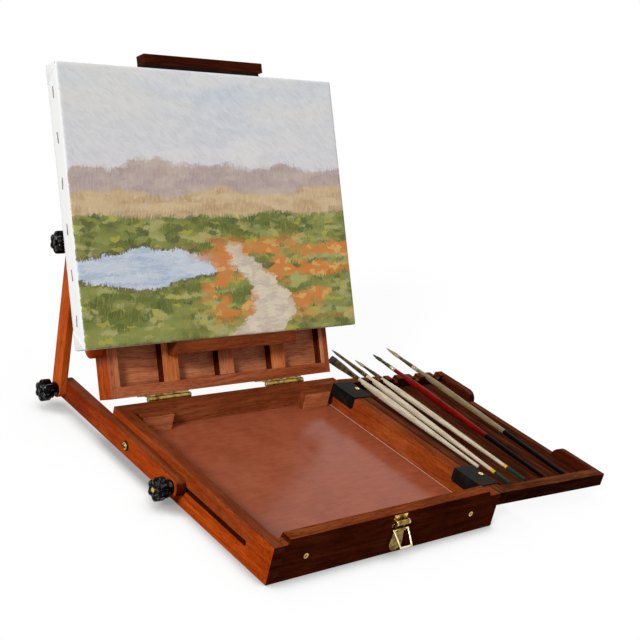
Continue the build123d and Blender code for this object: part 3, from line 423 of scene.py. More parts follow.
brass = metal("polished_brass", srgb(226, 194, 120), srgb(112, 86, 38), 0.2)
aged_brass = metal("aged_brass", srgb(176, 146, 78), srgb(70, 56, 24), 0.26)
# The latch lever's brass is darker than the other brass as painted shade.
lever_brass = metal("shaded_lever_brass", srgb(150, 120, 56), srgb(56, 42, 16), 0.24)
wire_brass = metal("bright_wire_brass", srgb(244, 228, 190), srgb(196, 168, 110), 0.18)
# The strut's two bolts get dark metal as painted shade, for bolt ends that sit back in the knobs.
bolt_shade_metal = metal("bolt_in_painted_shade", srgb(58, 56, 52), srgb(34, 32, 30), 0.35)
steel = metal("plain_steel", srgb(190, 188, 184), srgb(120, 116, 110), 0.30)
knob_black = moulded("black_moulded_knob", srgb(5, 5, 6), srgb(10, 10, 11), 0.2, coat=0.9,
                     specular=0.0)
hook_black = moulded("matt_black_enamel", srgb(15, 14, 11), srgb(28, 26, 20), 0.62, 1800.0,
                     0.05 * MM, specular=0.05)
grip_rubber = moulded("dark_grip_strip", srgb(24, 11, 7), srgb(38, 19, 13), 0.75, 1500.0,
                      0.08 * MM, specular=0.05)

for name in ("hinge_pins", "tray_screws", "latch_plate", "latch_pin", "latch_strike",
             "lid_screws", "rail_clamp_bolt", "slide_washers", "hook_screws"):
    dress(name, brass)
for name in ("tray_hinge_leaves", "lid_hinge_leaves"):
    dress(name, aged_brass)
dress("latch_lever", lever_brass)
dress("front_screws", screw_brass("front_screw_brass", "front_screws", -BACK, 0.4 * MM))
dress("rail_guide_screw", screw_brass("guide_screw_brass", "rail_guide_screw", -ACROSS, 1.5 * MM))
dress("latch_bail", wire_brass)
dress("strut_pivot_bolt", bolt_shade_metal)
dress("strut_top_bolt", bolt_shade_metal)
dress("tripod_nut", steel)
dress("side_tray_hooks", hook_black)
dress("clamp_grip", grip_rubber)
dress("palette_glass", clear_sheet())


# ---------------------------------------------------------------- mesh making
def piece(name, points, faces, materials, body, slot, crease=35, at=None):
    """Make a mesh piece, smooth between creases, that rides on a body."""
    mesh = bpy.data.meshes.new(name)
    mesh.from_pydata([tuple(p) for p in points], [], faces)
    for material in materials:
        mesh.materials.append(material)
    mesh.validate()
    mesh.shade_smooth()
    mesh.set_sharp_from_angle(angle=radians(crease))
    made = bpy.data.objects.new(name, mesh)
    bpy.context.scene.collection.objects.link(made)
    if at is not None:
        mesh.transform(at)
    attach(made, body)
    return made


def skin(rings, closed=False):
    """Faces that join rings of equal count, with both ends capped unless the rings close."""
    count = len(rings[0])
    points = [p for ring in rings for p in ring]
    faces = []
    spans = len(rings) if closed else len(rings) - 1
    for i in range(spans):
        a = i * count
        b = (i + 1) % len(rings) * count
        for j in range(count):
            k = (j + 1) % count
            faces.append((a + j, a + k, b + k, b + j))
    if not closed:
        last = (len(rings) - 1) * count
        faces.append(tuple(range(count - 1, -1, -1)))
        faces.append(tuple(last + j for j in range(count)))
    return points, faces


def tube(path, radius, sides):
    """A round wire along a path of points."""
    rings = []
    count = len(path)
    for i, here in enumerate(path):
        before = path[max(i - 1, 0)]
        after = path[min(i + 1, count - 1)]
        way = (after - before).normalized()
        side = way.cross(UP)
        if side.length < 0.1:
            side = way.cross(ACROSS)
        side.normalize()
        rise = side.cross(way)
        rings.append([here + radius * (cos(t) * side + sin(t) * rise)
                      for t in (2 * pi * j / sides for j in range(sides))])
    return skin(rings)


# ---------------------------------------------------------------- painting
CANVAS_W = 356.0 * MM
CANVAS_L = 282.6 * MM
CANVAS_T = 20.6 * MM
CANVAS_X = -181.3 * MM
CANVAS_U = 55.7 * MM
CANVAS_LOW = LID_EDGE + LID_UP * CANVAS_U + ACROSS * CANVAS_X + LID_OUT * 0.2 * MM
DABS_ACROSS = 105
DABS_UP = 230
THREAD_PITCH = 0.85 * MM
CLOTH_LAP = 14 * MM


def on_canvas(x, u, w):
    """A point from the canvas's lower left back corner: right, up and out."""
    return CANVAS_LOW + ACROSS * x + LID_UP * u + LID_OUT * w


def painting():
    """Oil sketch of a made-up lake valley, brushed wet in wet, on a white ground."""
    finish = Finish("oil_sketch_on_canvas", 0.55, specular=0.25)
    x = finish.along(ACROSS, CANVAS_LOW)
    u = finish.along(LID_UP, CANVAS_LOW)
    w = finish.along(LID_OUT, CANVAS_LOW)
    spot = finish.point(x, u)
    wobble = finish.noise(spot, 60.0, 3.0)
    sweep = finish.noise(spot, 160.0, 2.0)
    cells = {"voronoi_dimensions": "2D", "feature": "SMOOTH_F1"}
    dab_at = finish.point(x * DABS_ACROSS + wobble * 1.8, u * DABS_UP + sweep * 2.0)

    def dabs(output):
        return finish.node("ShaderNodeTexVoronoi", cells,
                           {"Vector": dab_at, "Scale": 1.0, "Smoothness": 0.25}, output)

    def part(vector, output):
        return finish.node("ShaderNodeSeparateXYZ", None, {0: vector}, output)

    def bristles(slant, across, length):
        """Fine streaks that a brush leaves, slanted from the upright."""
        over = x * cos(radians(slant)) - u * sin(radians(slant)) + wobble * 0.012
        run = x * sin(radians(slant)) + u * cos(radians(slant))
        return finish.noise(finish.point(over * across, run * length, slant), 1.0, 3.0, 0.6)

    centre = dabs("Position")
    chance = finish.node("ShaderNodeSeparateColor", None, {0: dabs("Color")}, 0)
    chance2 = finish.node("ShaderNodeSeparateColor", None, {0: dabs("Color")}, 1)
    upright = bristles(8, 620, 70)
    slanted = bristles(-52, 330, 60)
    level = bristles(86, 560, 60)
    s = ((part(centre, "X") - wobble * 1.8) * (0.6 / DABS_ACROSS / CANVAS_W)
         + x * (0.4 / CANVAS_W) + (level - 0.5) * 0.03)
    t = ((part(centre, "Y") - sweep * 2.0) * (0.6 / DABS_UP / CANVAS_L)
         + u * (0.4 / CANVAS_L) + (upright - 0.5) * 0.035)

    def patches(across, rise, shift, detail=2.0):
        return finish.noise(finish.point(s * across + shift, t * rise, shift), 1.0, detail)

    haze = patches(2.4, 5.0, 3.1, 3.0)
    cloud = patches(3.2, 9.0, 7.7, 3.0)
    sky = finish.mix(finish.step(haze, 0.32, 0.68), srgb(206, 213, 222), srgb(226, 225, 222))
    sky = finish.mix(finish.step(cloud, 0.50, 0.68) * 0.6, sky, srgb(242, 238, 233))
    sky = finish.mix(finish.step(t, 0.95, 0.58) * 0.55, sky, srgb(228, 221, 220))
    sky = finish.mix(finish.step(slanted, 0.36, 0.70) * 0.34, sky, srgb(238, 236, 236))
    sky = finish.mix(finish.step(slanted, 0.50, 0.24) * 0.28, sky, srgb(196, 201, 210))

    crest = patches(5.5, 0.0, 1.7, 3.0) * 0.16 + 0.565
    far = finish.mix(finish.step(patches(9.0, 20.0, 4.4), 0.4, 0.6), srgb(182, 162, 158),
                     srgb(196, 178, 166))
    far = finish.mix(finish.step(upright, 0.44, 0.70) * 0.5, far, srgb(208, 196, 188))
    view = finish.mix(finish.step(t - crest, 0.011, -0.011), sky, far)

    knoll = patches(3.1, 0.0, 9.2, 2.0) * 0.22 + 0.435
    sand_hill = finish.mix(finish.step(patches(8.0, 26.0, 2.9), 0.40, 0.64),
                           srgb(212, 186, 146), srgb(192, 160, 120))
    sand_hill = finish.mix(finish.step(upright, 0.42, 0.66) * 0.5, sand_hill,
                           srgb(222, 202, 168))
    view = finish.mix(finish.step(t - knoll, 0.009, -0.009), view, sand_hill)

    grass = finish.mix(finish.step(patches(7.0, 14.0, 6.6, 3.0), 0.40, 0.62),
                       srgb(140, 146, 78), srgb(100, 110, 48))
    grass = finish.mix(finish.step(patches(11.0, 22.0, 8.8), 0.52, 0.64), grass,
                       srgb(172, 170, 108))
    grass = finish.mix(finish.step(chance, 0.80, 0.92) * 0.7, grass, srgb(176, 168, 62))
    grass = finish.mix(finish.step(chance2, 0.84, 0.94) * 0.7, grass, srgb(74, 86, 42))
    grass = finish.mix(finish.step(upright, 0.46, 0.72) * 0.45, grass, srgb(166, 164, 96))
    meadow_top = patches(4.3, 0.0, 5.3, 2.0) * 0.10 + 0.40
    view = finish.mix(finish.step(t - meadow_top, 0.010, -0.010), view, grass)

    scrub = finish.step(patches(16.0, 34.0, 21.0), 0.55, 0.63)
    belt = finish.step(t, 0.30, 0.36) * finish.step(t, 0.49, 0.43)
    view = finish.mix(scrub * belt * 0.9, view, srgb(92, 100, 56))

    reach = finish.math("ABSOLUTE", s - 0.22)
    shore = t - (0.245 + patches(6.0, 0.0, 2.2) * 0.05)
    depth = (finish.math("ABSOLUTE", shore) * 3.4 + reach * 0.62
             + patches(14.0, 30.0, 1.1) * 0.10)
    bank = finish.mix(finish.step(chance, 0.4, 0.6), srgb(92, 96, 50), srgb(122, 106, 64))
    view = finish.mix(finish.step(depth, 0.356, 0.326), view, bank)
    water = finish.mix(finish.step(patches(6.0, 44.0, 12.3), 0.42, 0.60), srgb(176, 192, 214),
                       srgb(204, 213, 224))
    water = finish.mix(finish.step(level, 0.44, 0.68) * 0.6, water, srgb(222, 226, 230))
    view = finish.mix(finish.step(depth, 0.322, 0.300), view, water)

    right = finish.step(s, 0.30, 0.48)
    low = finish.step(t, 0.40, 0.33) * finish.step(t, 0.02, 0.10)
    bloom = finish.mix(chance, srgb(218, 134, 62), srgb(196, 134, 74))
    bloom = finish.mix(finish.step(chance2, 0.7, 0.85), bloom, srgb(226, 172, 96))
    thick = patches(9.0, 17.0, 15.4, 3.0) + right * 0.1 + (upright - 0.5) * 0.12
    view = finish.mix(finish.step(thick, 0.56, 0.64) * low * right * 0.95, view, bloom)

    lane = finish.math("ABSOLUTE", s - 0.60 - finish.math("SINE", t * 13.0) * 0.07)
    sand = finish.mix(finish.step(chance2, 0.3, 0.7), srgb(222, 208, 182), srgb(202, 188, 168))
    sand = finish.mix(finish.step(level, 0.45, 0.68) * 0.6, sand, srgb(232, 222, 202))
    lane_edge = lane + t * 0.22 + patches(12.0, 20.0, 3.9) * 0.06
    view = finish.mix(finish.step(lane_edge, 0.140, 0.118) * finish.step(t, 0.36, 0.33), view,
                      sand)

    dab_tone = finish.mix(chance, srgb(150, 146, 146), srgb(216, 216, 218))
    view = finish.mix(0.28, view, dab_tone, "SOFT_LIGHT")

    ground = finish.noise(finish.place, 900.0, 3.0)
    gesso = finish.mix(ground, srgb(242, 242, 241), srgb(232, 232, 231))
    unprimed = facing(finish, -LID_OUT) * finish.step(w, CANVAS_T / 2, CANVAS_T - 2 * MM)
    gesso = finish.mix(unprimed, gesso, finish.mix(ground, srgb(224, 208, 176),
                                                   srgb(200, 182, 148)))
    ragged = finish.noise(finish.place, 320.0, 3.0)
    front = finish.step(w + ragged * 2.4 * MM, CANVAS_T + 0.35 * MM, CANVAS_T + 0.75 * MM)
    finish.set("Base Color", finish.mix(front, gesso, view))

    threads = finish.math("SINE", x * (2 * pi / THREAD_PITCH))
    threads = threads + finish.math("SINE", u * (2 * pi / THREAD_PITCH))
    threads = threads + finish.math("SINE", w * (2 * pi / THREAD_PITCH))
    ridge = dabs("Distance")
    paint = ridge * 0.7 + chance * 0.5 + upright * 0.9 + slanted * 0.6
    finish.bump(threads * 0.12 + paint * front, 0.11 * MM)
    finish.set("Roughness", ridge * 0.2 + 0.42)
    return finish.material


def cloth_ring(inset, w):
    """The cloth's outline at one depth: a rectangle with small round corners."""
    radius = max(2.4 * MM - inset, 0.3 * MM)
    left = inset + radius
    right = CANVAS_W - inset - radius
    low = inset + radius
    high = CANVAS_L - inset - radius
    ring = []
    steps = 5
    runs = 12
    corners = ((right, low, -90), (right, high, 0), (left, high, 90), (left, low, 180))
    for i, (cx, cu, turn) in enumerate(corners):
        for j in range(steps):
            t = radians(turn + 90 * j / (steps - 1))
            ring.append((cx + radius * cos(t), cu + radius * sin(t)))
        nx, nu, nturn = corners[(i + 1) % 4]
        t = radians(nturn)
        end = (nx + radius * cos(t), nu + radius * sin(t))
        start = ring[-1]
        for j in range(1, runs):
            share = j / runs
            ring.append((start[0] + (end[0] - start[0]) * share,
                         start[1] + (end[1] - start[1]) * share))
    return [on_canvas(x, u, w) for x, u in ring]


def cloth(material):
    """Primed cloth stretched over the bars and turned over at the back."""
    lap = CLOTH_LAP / MM
    outer = [(lap, 0.0), (9.0, 0.0), (4.0, 0.0), (1.4, 0.0), (0.4, 0.4), (0.0, 1.4),
             (0.0, 5.0), (0.0, 10.0), (0.0, 15.0), (0.0, 19.0), (0.35, 20.15), (1.3, 20.6),
             (4.0, 20.6)]
    inner = [(4.0, 19.9), (1.5, 19.9), (0.95, 19.5), (0.75, 18.8), (0.75, 10.0), (0.75, 1.5),
             (0.95, 0.95), (1.6, 0.75), (4.0, 0.75), (9.0, 0.75), (lap, 0.75)]
    rings = [cloth_ring(inset * MM, w * MM) for inset, w in outer]
    back_rings = [cloth_ring(inset * MM, w * MM) for inset, w in inner]
    points, faces = skin(rings + back_rings, closed=True)
    count = len(rings[0])
    front = len(outer) - 1
    seam = set(range(front * count, (front + 2) * count))
    faces = [f for f in faces if not set(f) <= seam]
    faces.append(tuple(front * count + j for j in range(count)))
    faces.append(tuple((front + 1) * count + j for j in reversed(range(count))))
    return piece("canvas_cloth_painted", points, faces, [material], "canvas", "canvas", 50)


def corner_fold(name, corner_u, sense, side_x, outward, material):
    """The cloth tucked under itself at a corner, as a thin three-sided flap on the edge."""
    flap = [(0.6, 19.4), (0.6, 1.6), (7.0, 1.0), (20.0, 1.0), (14.5, 7.4), (8.0, 13.6)]
    rings = []
    for lift, shrink in ((0.0, 0.0), (0.35, 0.0), (0.55, 0.5)):
        ring = []
        for u, w in flap:
            mid_u, mid_w = 8.0, 7.0
            u_in = u + (mid_u - u) * shrink * 0.12
            w_in = w + (mid_w - w) * shrink * 0.12
            ring.append(on_canvas(side_x + outward * lift * MM, corner_u + sense * u_in * MM,
                                  w_in * MM))
        rings.append(ring if outward * sense > 0 else ring[::-1])
    points, faces = skin(rings)
    return piece(name, points, faces, [material], "canvas", "canvas", 30)


def staples(material):
    """Wire staples down the middle of both upright edges, their crowns standing proud."""
    pitch = 45.0 * MM
    half = 5.4 * MM
    count = int(CANVAS_L / pitch)
    first = (CANVAS_L - (count - 1) * pitch) / 2
    points = []
    faces = []
    for i in range(count):
        u = first + i * pitch
        lean = (0.5, -0.3, 0.2, 0.6, -0.2, 0.1)[i] * MM
        for side_x, outward in ((0.0, -1), (CANVAS_W, 1)):
            crown = side_x + outward * 0.45 * MM
            legs = side_x - outward * 2.5 * MM
            mid = CANVAS_T / 2
            path = [on_canvas(legs, u - half, mid - lean),
                    on_canvas(crown - outward * 0.3 * MM, u - half, mid - lean),
                    on_canvas(crown, u - half + 0.4 * MM, mid - lean),
                    on_canvas(crown, u, mid),
                    on_canvas(crown, u + half - 0.4 * MM, mid + lean),
                    on_canvas(crown - outward * 0.3 * MM, u + half, mid + lean),
                    on_canvas(legs, u + half, mid + lean)]
            more, joins = tube(path, 0.42 * MM, 8)
            start = len(points)
            points += more
            faces += [tuple(start + k for k in f) for f in joins]
    return piece("edge_staples", points, faces, [material], "canvas", "steel")


oil_sketch = painting()
cloth_piece = cloth(oil_sketch)
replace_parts(cloth_piece, "canvas_cloth")
for name, corner_u, sense, side_x, outward in (
        ("fold_low_left", 0.0, 1, 0.0, -1), ("fold_high_left", CANVAS_L, -1, 0.0, -1),
        ("fold_low_right", 0.0, 1, CANVAS_W, 1), ("fold_high_right", CANVAS_L, -1, CANVAS_W, 1)):
    corner_fold(name, corner_u, sense, side_x, outward, oil_sketch)
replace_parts(staples(metal("dull_staple_wire", srgb(128, 122, 118), srgb(84, 78, 74), 0.45)),
            "canvas_staples")


# ---------------------------------------------------------------- star knobs
KNOB_LOBES = 6


def knob_outline(radius, depth, sides=72):
    """Lobed outline round the knob's axis."""
    outline = []
    for j in range(sides):
        t = 2 * pi * j / sides
        lobe = (0.5 + 0.5 * cos(KNOB_LOBES * (t - radians(15)))) ** 0.75
        reach = radius - depth * (1 - lobe)
        outline.append((reach * cos(t), reach * sin(t)))
    return outline


def star_knob(name, body, node):
    """Moulded star knob with rounded lobes, a dished face and the bolt's hole in it."""
    low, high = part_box(node)
    mid = (low + high) / 2
    seat = high.x
    outside = 11.5
    rows = [(0.0, 3.2, 0.0), (0.0, 6.6, 0.0), (0.4, 7.0, 0.0), (6.6, 7.0, 0.0),
            (6.9, outside - 1.4, 1.6), (7.4, outside - 0.3, 2.7), (8.2, outside, 3.0),
            (15.9, outside, 3.0), (17.3, outside - 0.35, 2.9), (18.1, outside - 1.3, 2.4),
            (18.5, outside - 2.8, 1.6), (18.3, 6.0, 0.2), (17.4, 4.6, 0.0), (17.4, 2.6, 0.0),
            (3.0, 2.6, 0.0)]
    rings = []
    for out, radius, depth in rows:
        ring = [Vector((seat - out * MM, mid.y + a * MM, mid.z + b * MM))
                for a, b in knob_outline(radius, depth)]
        rings.append(ring)
    points, faces = skin(rings, closed=True)
    knob = piece(name, points, faces, [knob_black], body, "knob_black", 40)
    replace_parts(knob, node)


star_knob("rail_star_knob", "rail_knob", "rail_knob")
star_knob("lower_star_knob", "strut_lower_knob", "strut_lower_knob")
star_knob("upper_star_knob", "strut_upper_knob", "strut_upper_knob")


# ---------------------------------------------------------------- brushes
FLOOR_TOP = 3.3
RAIL_TOP = 14.0
RAIL_MID_Y = 255.25
NOTCH_X0 = 33.0
NOTCH_PITCH = 18.2
NOTCH_R = 5.0
RAIL_W = 10.5
SWELL_BACK = 40.0
BRUSH_SIDES = 28
TUFT_SIDES = 48
CRIMPED_RINGS = 8


def tray_point(x, y, z):
    """A point of the drooped brush tray, given in millimetres from its inner front corner."""
    return TRAY_CORNER + TRAY_OUT * x * MM + BACK * y * MM + TRAY_UP * z * MM


def lacquer(name, colour, shade, roughness=0.3, gloss=0.1):
    """Lacquered handle with faint ripples."""
    finish = Finish(name, roughness, coat=gloss, specular=gloss)
    grain = finish.noise(finish.point(finish.along(BACK) * 60, finish.along(ACROSS) * 500,
                                      finish.along(UP) * 500), 1.0, 2.0)
    finish.set("Base Color", finish.mix(finish.step(grain, 0.35, 0.7), colour, shade))
    finish.set("Roughness", grain * 0.14 + (roughness - 0.06))
    finish.bump(grain, 0.03 * MM)
    return finish.material


def bristle(name, dark, light):
    """Hair of a brush, streaked along its length."""
    finish = Finish(name, 0.6, coat_roughness=0.1, specular=0.35)
    strands = finish.noise(finish.point(finish.along(BACK) * 60, finish.along(ACROSS) * 3800,
                                        finish.along(UP) * 3800), 1.0, 2.0)
    finish.set("Base Color", finish.mix(finish.step(strands, 0.3, 0.7), dark, light))
    finish.set("Roughness", strands * 0.3 + 0.45)
    finish.bump(strands, 0.12 * MM)
    return finish.material


cream = lacquer("cream_lacquer", srgb(194, 180, 158), srgb(168, 152, 126), 0.42)
red = lacquer("red_lacquer", srgb(118, 7, 4), srgb(80, 4, 3), 0.22, 0.03)
tan = lacquer("tan_lacquer", srgb(128, 108, 76), srgb(102, 84, 56), 0.3)
black = lacquer("black_lacquer", srgb(5, 5, 5), srgb(9, 8, 8), 0.2, 0.015)
green = lacquer("green_lacquer", srgb(14, 58, 42), srgb(9, 40, 31), 0.25, 0.03)
gold = lacquer("gold_band", srgb(214, 164, 44), srgb(190, 138, 32), 0.3)
dark_ferrule = metal("dark_ferrule", srgb(84, 68, 44), srgb(34, 26, 16), 0.3)
silver_crimp = metal("silver_crimp", srgb(158, 150, 126), srgb(84, 74, 56), 0.24)
dark_hair = bristle("dark_hair", srgb(18, 14, 12), srgb(44, 34, 28))
fair_hair = bristle("fair_bristle", srgb(104, 84, 56), srgb(170, 148, 112))


class Brush:
    """A brush in the tray: where it lies, its sizes, its colours and its turn."""

    def __init__(self, node, notch, butt, lengths, radii, tip, shape, paint, bands, crimp, hair,
                 turn=0):
        self.node = node
        self.handle_l, self.ferrule_l, self.hair_l = lengths
        self.butt_r, self.swell_r, self.neck_r = radii
        self.tip_w, self.tip_t = tip
        self.shape = shape
        self.paint = paint
        self.bands = bands
        self.crimp = crimp
        self.hair = hair
        self.start = tray_point(butt[0], butt[1], FLOOR_TOP + self.butt_r + 0.8)
        along = RAIL_MID_Y - butt[1]
        rest = max(self.radius_at(along - RAIL_W), self.radius_at(along + RAIL_W))
        end = tray_point(NOTCH_X0 + notch * NOTCH_PITCH, RAIL_MID_Y,
                         RAIL_TOP - NOTCH_R + 0.4 + rest)
        self.way = (end - self.start).normalized()
        side = self.way.cross(TRAY_UP).normalized()
        self.side = (Matrix.Rotation(radians(-turn), 3, self.way) @ side).normalized()
        self.rise = self.side.cross(self.way)

    def radius_at(self, along):
        """Handle radius: it swells from the butt, then narrows to the ferrule."""
        swell_at = self.handle_l - SWELL_BACK
        low, high, share = self.butt_r, self.swell_r, along / swell_at
        if along > swell_at:
            low, high, share = self.swell_r, self.neck_r, min((along - swell_at) / SWELL_BACK, 1)
        return low + (high - low) * share ** 2 * (3 - 2 * share)

    def ring(self, z, wide, thick, sides=BRUSH_SIDES, ripple=0.0):
        """Points round the brush at one distance from its butt."""
        ring = []
        for j in range(sides):
            t = 2 * pi * j / sides
            swell = 1 + ripple * (1 if j % 2 else -1)
            ring.append(self.start + self.way * z * MM
                        + self.side * cos(t) * wide * swell * MM
                        + self.rise * sin(t) * thick * swell * MM)
        return ring

    def handle(self):
        """Turned handle with its painted bands."""
        length = self.handle_l
        rows = [(0.0, self.butt_r * 0.45), (0.25, self.butt_r * 0.7), (0.8, self.butt_r * 0.9),
                (1.5, self.butt_r)]
        rows += [(z, self.radius_at(z)) for z in (3 + (length - 3) * i / 60 for i in range(61))]
        cuts = sorted(z for band in self.bands for z in band[:2] if 0 < z < length)
        for cut in cuts:
            near = min(range(len(rows)), key=lambda i: abs(rows[i][0] - cut))
            rows[near] = (cut, rows[near][1])
        points, faces = skin([self.ring(z, r, r) for z, r in rows])
        materials = [self.paint] + [band[2] for band in self.bands]
        made = piece(self.node + "_handle", points, faces, materials, self.node,
                     frame_slot(self.node))
        for polygon in made.data.polygons:
            row = min(polygon.vertices) // BRUSH_SIDES
            if len(polygon.vertices) > 4:
                z = rows[0][0] if row == 0 else rows[-1][0]
            else:
                z = (rows[row][0] + rows[row + 1][0]) / 2
            for i, (low, high, _) in enumerate(self.bands):
                if low <= z <= high:
                    polygon.material_index = i + 1
        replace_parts(made, self.node)

    def ferrule(self):
        """Metal ferrule with crimp grooves, flattened towards the hair."""
        start = self.handle_l
        length = self.ferrule_l
        neck = self.neck_r + 0.12
        profile = [(-1.5, 1.0), (0.0, 1.0), (2.0, 1.0), (2.5, 0.9), (3.0, 1.0), (4.6, 1.0),
                   (5.1, 0.9), (5.6, 1.0), (7.5, 1.0)]
        profile += [(7.5 + (length - 7.5) * i / 10, 1.0) for i in range(1, 11)]
        rings = []
        for z, groove in profile:
            share = min(max((z - 5.6) / (length - 5.6), 0), 1)
            share = share * share * (3 - 2 * share)
            wide = neck + (self.tip_w - neck) * share
            thick = neck + (self.tip_t - neck) * share
            rings.append(self.ring(start + z, wide * groove, thick * groove))
        points, faces = skin(rings)
        made = piece(self.node + "_ferrule", points, faces, [dark_ferrule, self.crimp],
                     self.node, "brass", 25)
        for polygon in made.data.polygons:
            if min(polygon.vertices) // BRUSH_SIDES < CRIMPED_RINGS:
                polygon.material_index = 1

    def tuft(self):
        """Hair of the brush, cut to its shape."""
        start = self.handle_l + self.ferrule_l - 0.8
        length = self.hair_l + 0.8
        rings = []
        steps = 12
        for i in range(steps + 1):
            share = i / steps
            thick = self.tip_t * (0.95 + 0.35 * sin(pi * min(share * 1.4, 1)) - 0.80 * share ** 2)
            wide = self.tip_w * (0.94 + 0.08 * sin(pi * share))
            if self.shape == "filbert":
                wide *= max(1 - max(share - 0.55, 0) ** 2 * 4.2, 0.10)
            if self.shape == "round":
                wide = self.tip_w * max(0.95 + 0.2 * sin(pi * share) - 0.93 * share ** 1.6, 0.05)
                thick = self.tip_t * max(0.95 + 0.2 * sin(pi * share) - 0.93 * share ** 1.6, 0.05)
            rings.append(self.ring(start + length * share, wide, max(thick, 0.18),
                                   TUFT_SIDES, 0.03 if 0 < i < steps else 0.0))
        points, faces = skin(rings)
        piece(self.node + "_tuft", points, faces, [self.hair], self.node,
              frame_slot(self.node), 60)


def frame_slot(node):
    """The material slot that the record gives a node."""
    for row in frame["record"]["subparts"]:
        if row["node"] == node:
            return row["material_slot"]
    return None


BRUSHES = (
    Brush("brush_flat_cream", 0, (35.0, 61.0), (198.0, 42.0, 11.5), (1.8, 4.1, 2.8), (4.6, 1.6),
          "flat", cream, (), dark_ferrule, dark_hair, 55),
    Brush("brush_round_cream", 1, (43.7, 23.3), (242.0, 50.0, 19.5), (1.8, 3.7, 2.5), (1.9, 1.8),
          "round", cream, ((0.0, 22.0, green), (22.0, 28.0, gold)), dark_ferrule, fair_hair),
    Brush("brush_filbert_cream", 2, (70.7, 24.7), (233.5, 30.0, 18.5), (1.8, 3.3, 2.2),
          (2.2, 1.3), "filbert", cream, ((0.0, 26.0, green), (26.0, 31.0, gold)), dark_ferrule,
          fair_hair),
    Brush("brush_flat_red", 4, (101.7, 25.3), (248.0, 24.0, 18.0), (2.1, 3.9, 2.4), (2.6, 1.6),
          "filbert", red, ((0.0, 88.0, black),), silver_crimp, dark_hair),
    Brush("brush_filbert_tan", 6, (135.3, 24.0), (247.0, 32.0, 27.0), (2.2, 3.7, 2.5),
          (2.8, 1.6), "filbert", tan, ((0.0, 92.0, black),), silver_crimp, fair_hair),
)
for brush in BRUSHES:
    brush.handle()
    brush.ferrule()
    brush.tuft()


# ---------------------------------------------------------------- floor, light and camera
def seen_directly(finish):
    """1 where the camera, a reflection or clear stuff shows the surface."""
    path = finish.node("ShaderNodeLightPath", output="Is Camera Ray")
    others = path.socket.node.outputs
    shiny = Value(finish, others["Is Glossy Ray"])
    clear = Value(finish, others["Is Transmission Ray"])
    return finish.math("MAXIMUM", path, finish.math("MAXIMUM", shiny, clear))


# How much of the floor's own white glow lies over its shadow, painting light over it: in front
# of the box, where the box touches the floor, and behind or beside it. The last three say where
# those places begin.
GLOW_IN_FRONT = 0.86
GLOW_AT_CONTACT = 0.24
GLOW_BEHIND = 0.93
CONTACT_REACH = 22 * MM
BEHIND_BOX = (0.10, 0.19)
RIGHT_OF_PROP = (-0.17, -0.12)
BESIDE_BOX = (0.13, 0.20)


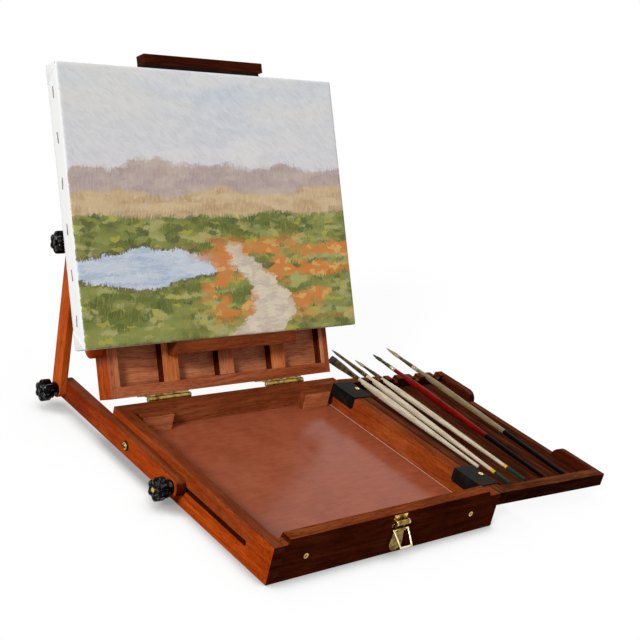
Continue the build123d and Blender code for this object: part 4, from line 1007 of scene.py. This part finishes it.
def floor():
    """White floor that keeps a soft shadow, with a painted contact shadow darkest where the box
    touches it, and a stronger glow that paints light over the shadow behind and beside the box.
    """
    mesh = bpy.data.meshes.new("floor")
    reach = 6.0
    mesh.from_pydata([(-reach, -reach, 0), (reach, -reach, 0), (reach, reach, 0),
                      (-reach, reach, 0)], [], [(0, 1, 2, 3)])
    finish = Finish("white_floor", 0.9, specular=0.0)
    seen = seen_directly(finish)
    # Painted contact shadow: ambient occlusion within the contact reach darkens the floor's own
    # colour near the box.
    clear = finish.step(finish.node("ShaderNodeAmbientOcclusion", {"samples": 12},
                                    {"Distance": CONTACT_REACH}, "AO"), 0.40, 1.0)
    contact_shaded_white = finish.mix(clear, (0.3, 0.3, 0.3, 1), (1, 1, 1, 1))
    finish.set("Base Color", finish.mix(seen, (0.34, 0.34, 0.34, 1), contact_shaded_white))
    behind = (finish.step(finish.along(BACK), *BEHIND_BOX)
              * finish.step(finish.along(ACROSS), *RIGHT_OF_PROP))
    beside = finish.step(finish.along(ACROSS), *BESIDE_BOX)
    away = finish.math("MAXIMUM", behind, beside)
    share = finish.math("MAXIMUM", away * GLOW_BEHIND, clear * (GLOW_IN_FRONT - GLOW_AT_CONTACT)
                        + GLOW_AT_CONTACT)
    glow = finish.node("ShaderNodeEmission", None, {"Strength": 1.0})
    shown = finish.node("ShaderNodeMixShader", None, {0: seen * share})
    mixer = shown.socket.node
    finish.tree.links.new(finish.shader.outputs[0], mixer.inputs[1])
    finish.tree.links.new(glow.socket, mixer.inputs[2])
    finish.tree.links.new(shown.socket, finish.tree.nodes["Material Output"].inputs["Surface"])
    mesh.materials.append(finish.material)
    made = bpy.data.objects.new("floor", mesh)
    bpy.context.scene.collection.objects.link(made)
    made.location.z = -0.2 * MM


def sun(name, toward, strength, spread):
    """A lamp far away, given by the way towards it."""
    lamp = bpy.data.lights.new(name, "SUN")
    lamp.energy = strength
    lamp.angle = radians(spread)
    made = bpy.data.objects.new(name, lamp)
    bpy.context.scene.collection.objects.link(made)
    made.rotation_euler = Vector(toward).to_track_quat("Z", "Y").to_euler()


def light():
    """A broad key from the left, a soft top light from behind, and an even white room."""
    sun("key", (-0.80, -0.28, 0.53), 2.6, 14)
    sun("top", (0.30, 0.50, 0.81), 0.9, 80)
    room = bpy.data.worlds.new("room")
    bpy.context.scene.world = room
    room.use_nodes = True
    nodes = room.node_tree.nodes
    links = room.node_tree.links
    path = nodes.new("ShaderNodeLightPath")
    shown = path.outputs["Is Camera Ray"]
    for other in ("Is Glossy Ray", "Is Transmission Ray"):
        either = nodes.new("ShaderNodeMath")
        either.operation = "MAXIMUM"
        links.new(shown, either.inputs[0])
        links.new(path.outputs[other], either.inputs[1])
        shown = either.outputs[0]
    level = nodes.new("ShaderNodeMapRange")
    level.inputs["To Min"].default_value = 0.38
    level.inputs["To Max"].default_value = 1.0
    links.new(shown, level.inputs["Value"])
    links.new(level.outputs[0], nodes["Background"].inputs["Strength"])
    nodes["Background"].inputs["Color"].default_value = (1, 1, 1, 1)


def camera():
    """The view of the open box from its front left, a little above, with the head tilted."""
    lens = bpy.data.cameras.new("camera")
    lens.lens = 69.45
    lens.sensor_width = 36.0
    lens.clip_start = 0.05
    made = bpy.data.objects.new("camera", lens)
    bpy.context.scene.collection.objects.link(made)
    stand = Vector((-0.790716, -0.780167, 0.586256))
    aim = Vector((0.166175, 0.196947, 0.080))
    turn = (aim - stand).to_track_quat("-Z", "Y").to_matrix() @ Matrix.Rotation(
        radians(13.6), 3, "Z")
    made.matrix_world = Matrix.Translation(stand) @ turn.to_4x4()
    bpy.context.scene.camera = made


floor()
light()
camera()
bpy.context.scene.view_settings.view_transform = "Standard"
